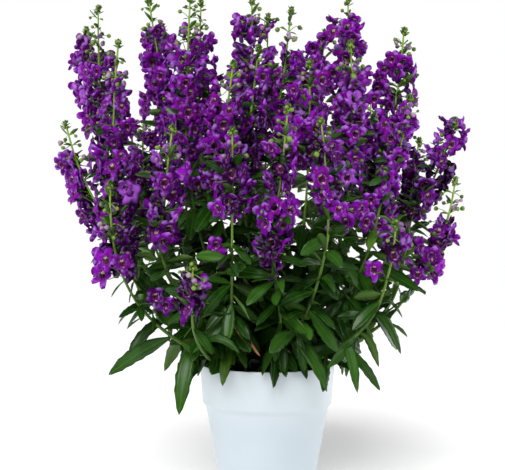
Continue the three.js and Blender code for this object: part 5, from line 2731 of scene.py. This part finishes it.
# Studio
@dataclass
class Studio:
    """A plain white floor, soft light and the camera at the photograph's viewing angle.

    Args:
        lens: Focal length, in millimetres.
        camera_place: The camera's place, in metres.
        sky: Brightness of the light from all round.
        gleam: Brightness of the room in what gleams.
        key: Strength of the soft light from above the front.
        panel: Power of the soft panel on the left of the plant, in watts.
        right_share: Power of the one on the right, as a share of that.
        panel_place: Place of a panel: how far out, how far back and how high, in metres.
        floor_reach: Half width of the floor, in millimetres.
    """

    lens: float = 67.7
    camera_place: Triple = (-0.0173, -1.1305, 0.302)
    sky: float = 0.05
    gleam: float = 0.4
    key: float = 3.3
    panel: float = 10.0
    right_share: float = 1.4
    panel_place: Triple = (1.3, 0.45, 0.3)
    floor_reach: float = 9000.0

    def build(self) -> None:
        """Builds the floor, the lights and the camera."""
        self.build_floor()
        self.build_light()
        self.build_camera()
        bpy.context.scene.view_settings.view_transform = "Standard"
        LOG.info("studio: floor, light and camera")

    def build_floor(self) -> None:
        """Builds the floor, a wide square just under the pot."""
        reach = self.floor_reach
        corners = [(-reach, -reach, 0), (reach, -reach, 0), (reach, reach, 0), (-reach, reach, 0)]
        mesh = mesh_of("floor", corners, [(0, 1, 2, 3)])
        mesh.materials.append(FloorFinish().material())
        placed_object("floor", mesh)

    def build_light(self) -> None:
        """Lights the scene from all round, and more from high at the front on the left."""
        world = bpy.data.worlds.new("white room")
        world.use_nodes = True
        graph = Graph(world.node_tree)
        background = next(n for n in world.node_tree.nodes if n.type == "BACKGROUND")
        seen = graph.node("ShaderNodeLightPath", output="Is Camera Ray")
        mirrored = graph.node("ShaderNodeLightPath", output="Is Glossy Ray")
        graph.feed(background, "Color", (1.0, 1.0, 1.0))
        graph.feed(background, "Strength",
                   seen * (1.0 - self.sky) + mirrored * (self.gleam - self.sky) + self.sky)
        bpy.context.scene.world = world
        lamp = bpy.data.lights.new("soft light", "SUN")
        lamp.energy = self.key
        lamp.angle = math.radians(48)
        light = placed_object("soft light", lamp)
        light.rotation_euler = Vector((0.28, 0.95, -1.1)).to_track_quat("-Z", "Y").to_euler()
        for side in (-1, 1):
            self.build_panel(side)

    def build_panel(self, side: int) -> None:
        """Builds a soft panel beside the plant, a little behind it.

        Args:
            side: -1 on the left and 1 on the right.
        """
        lamp = bpy.data.lights.new("soft panel", "AREA")
        lamp.shape = "SQUARE"
        lamp.size = 1.0
        lamp.energy = self.panel * (1.0 if side < 0 else self.right_share)
        panel = placed_object("soft panel", lamp)
        panel.visible_camera = False
        out, back, height = self.panel_place
        place = Vector((side * out, back, height))
        panel.location = place
        panel.rotation_euler = (Vector((0, 0, 0.05)) - place).to_track_quat("-Z", "Y").to_euler()

    def build_camera(self) -> None:
        """Sets the camera level, looking along +Y."""
        data = bpy.data.cameras.new("camera")
        data.lens = self.lens
        data.sensor_width = 36.0
        data.clip_start, data.clip_end = 0.05, 60.0
        camera = placed_object("camera", data)
        camera.location = self.camera_place
        camera.rotation_euler = (math.pi / 2, 0.0, 0.0)
        bpy.context.scene.camera = camera


def write_sizes() -> None:
    """Brings the scene's values up to date."""
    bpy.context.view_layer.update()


def main() -> None:
    """Builds the whole scene."""
    logging.basicConfig(level=logging.INFO, format="%(message)s")
    Studio().build()
    Pot().build()
    Soil().build()
    layout = Layout()
    layout.lay_stems()
    layout.lay_long_leaves()
    layout.lay_leaves()
    layout.lay_shown_leaves()
    LOG.info("layout: %d stems and %d leaves of the solids", len(layout.stems), len(layout.blades))
    shapes = Shapes()
    spikes = [Spike(stem) for stem in layout.stems]
    for plant in range(len(PLANTS)):
        own = [spike for spike in spikes if spike.stem.plant == plant]
        Foliage(plant, layout, own).build(shapes)
    for spike in spikes:
        Blossoms(spike).build(shapes)
    write_sizes()


if __name__ == "__main__":
    main()
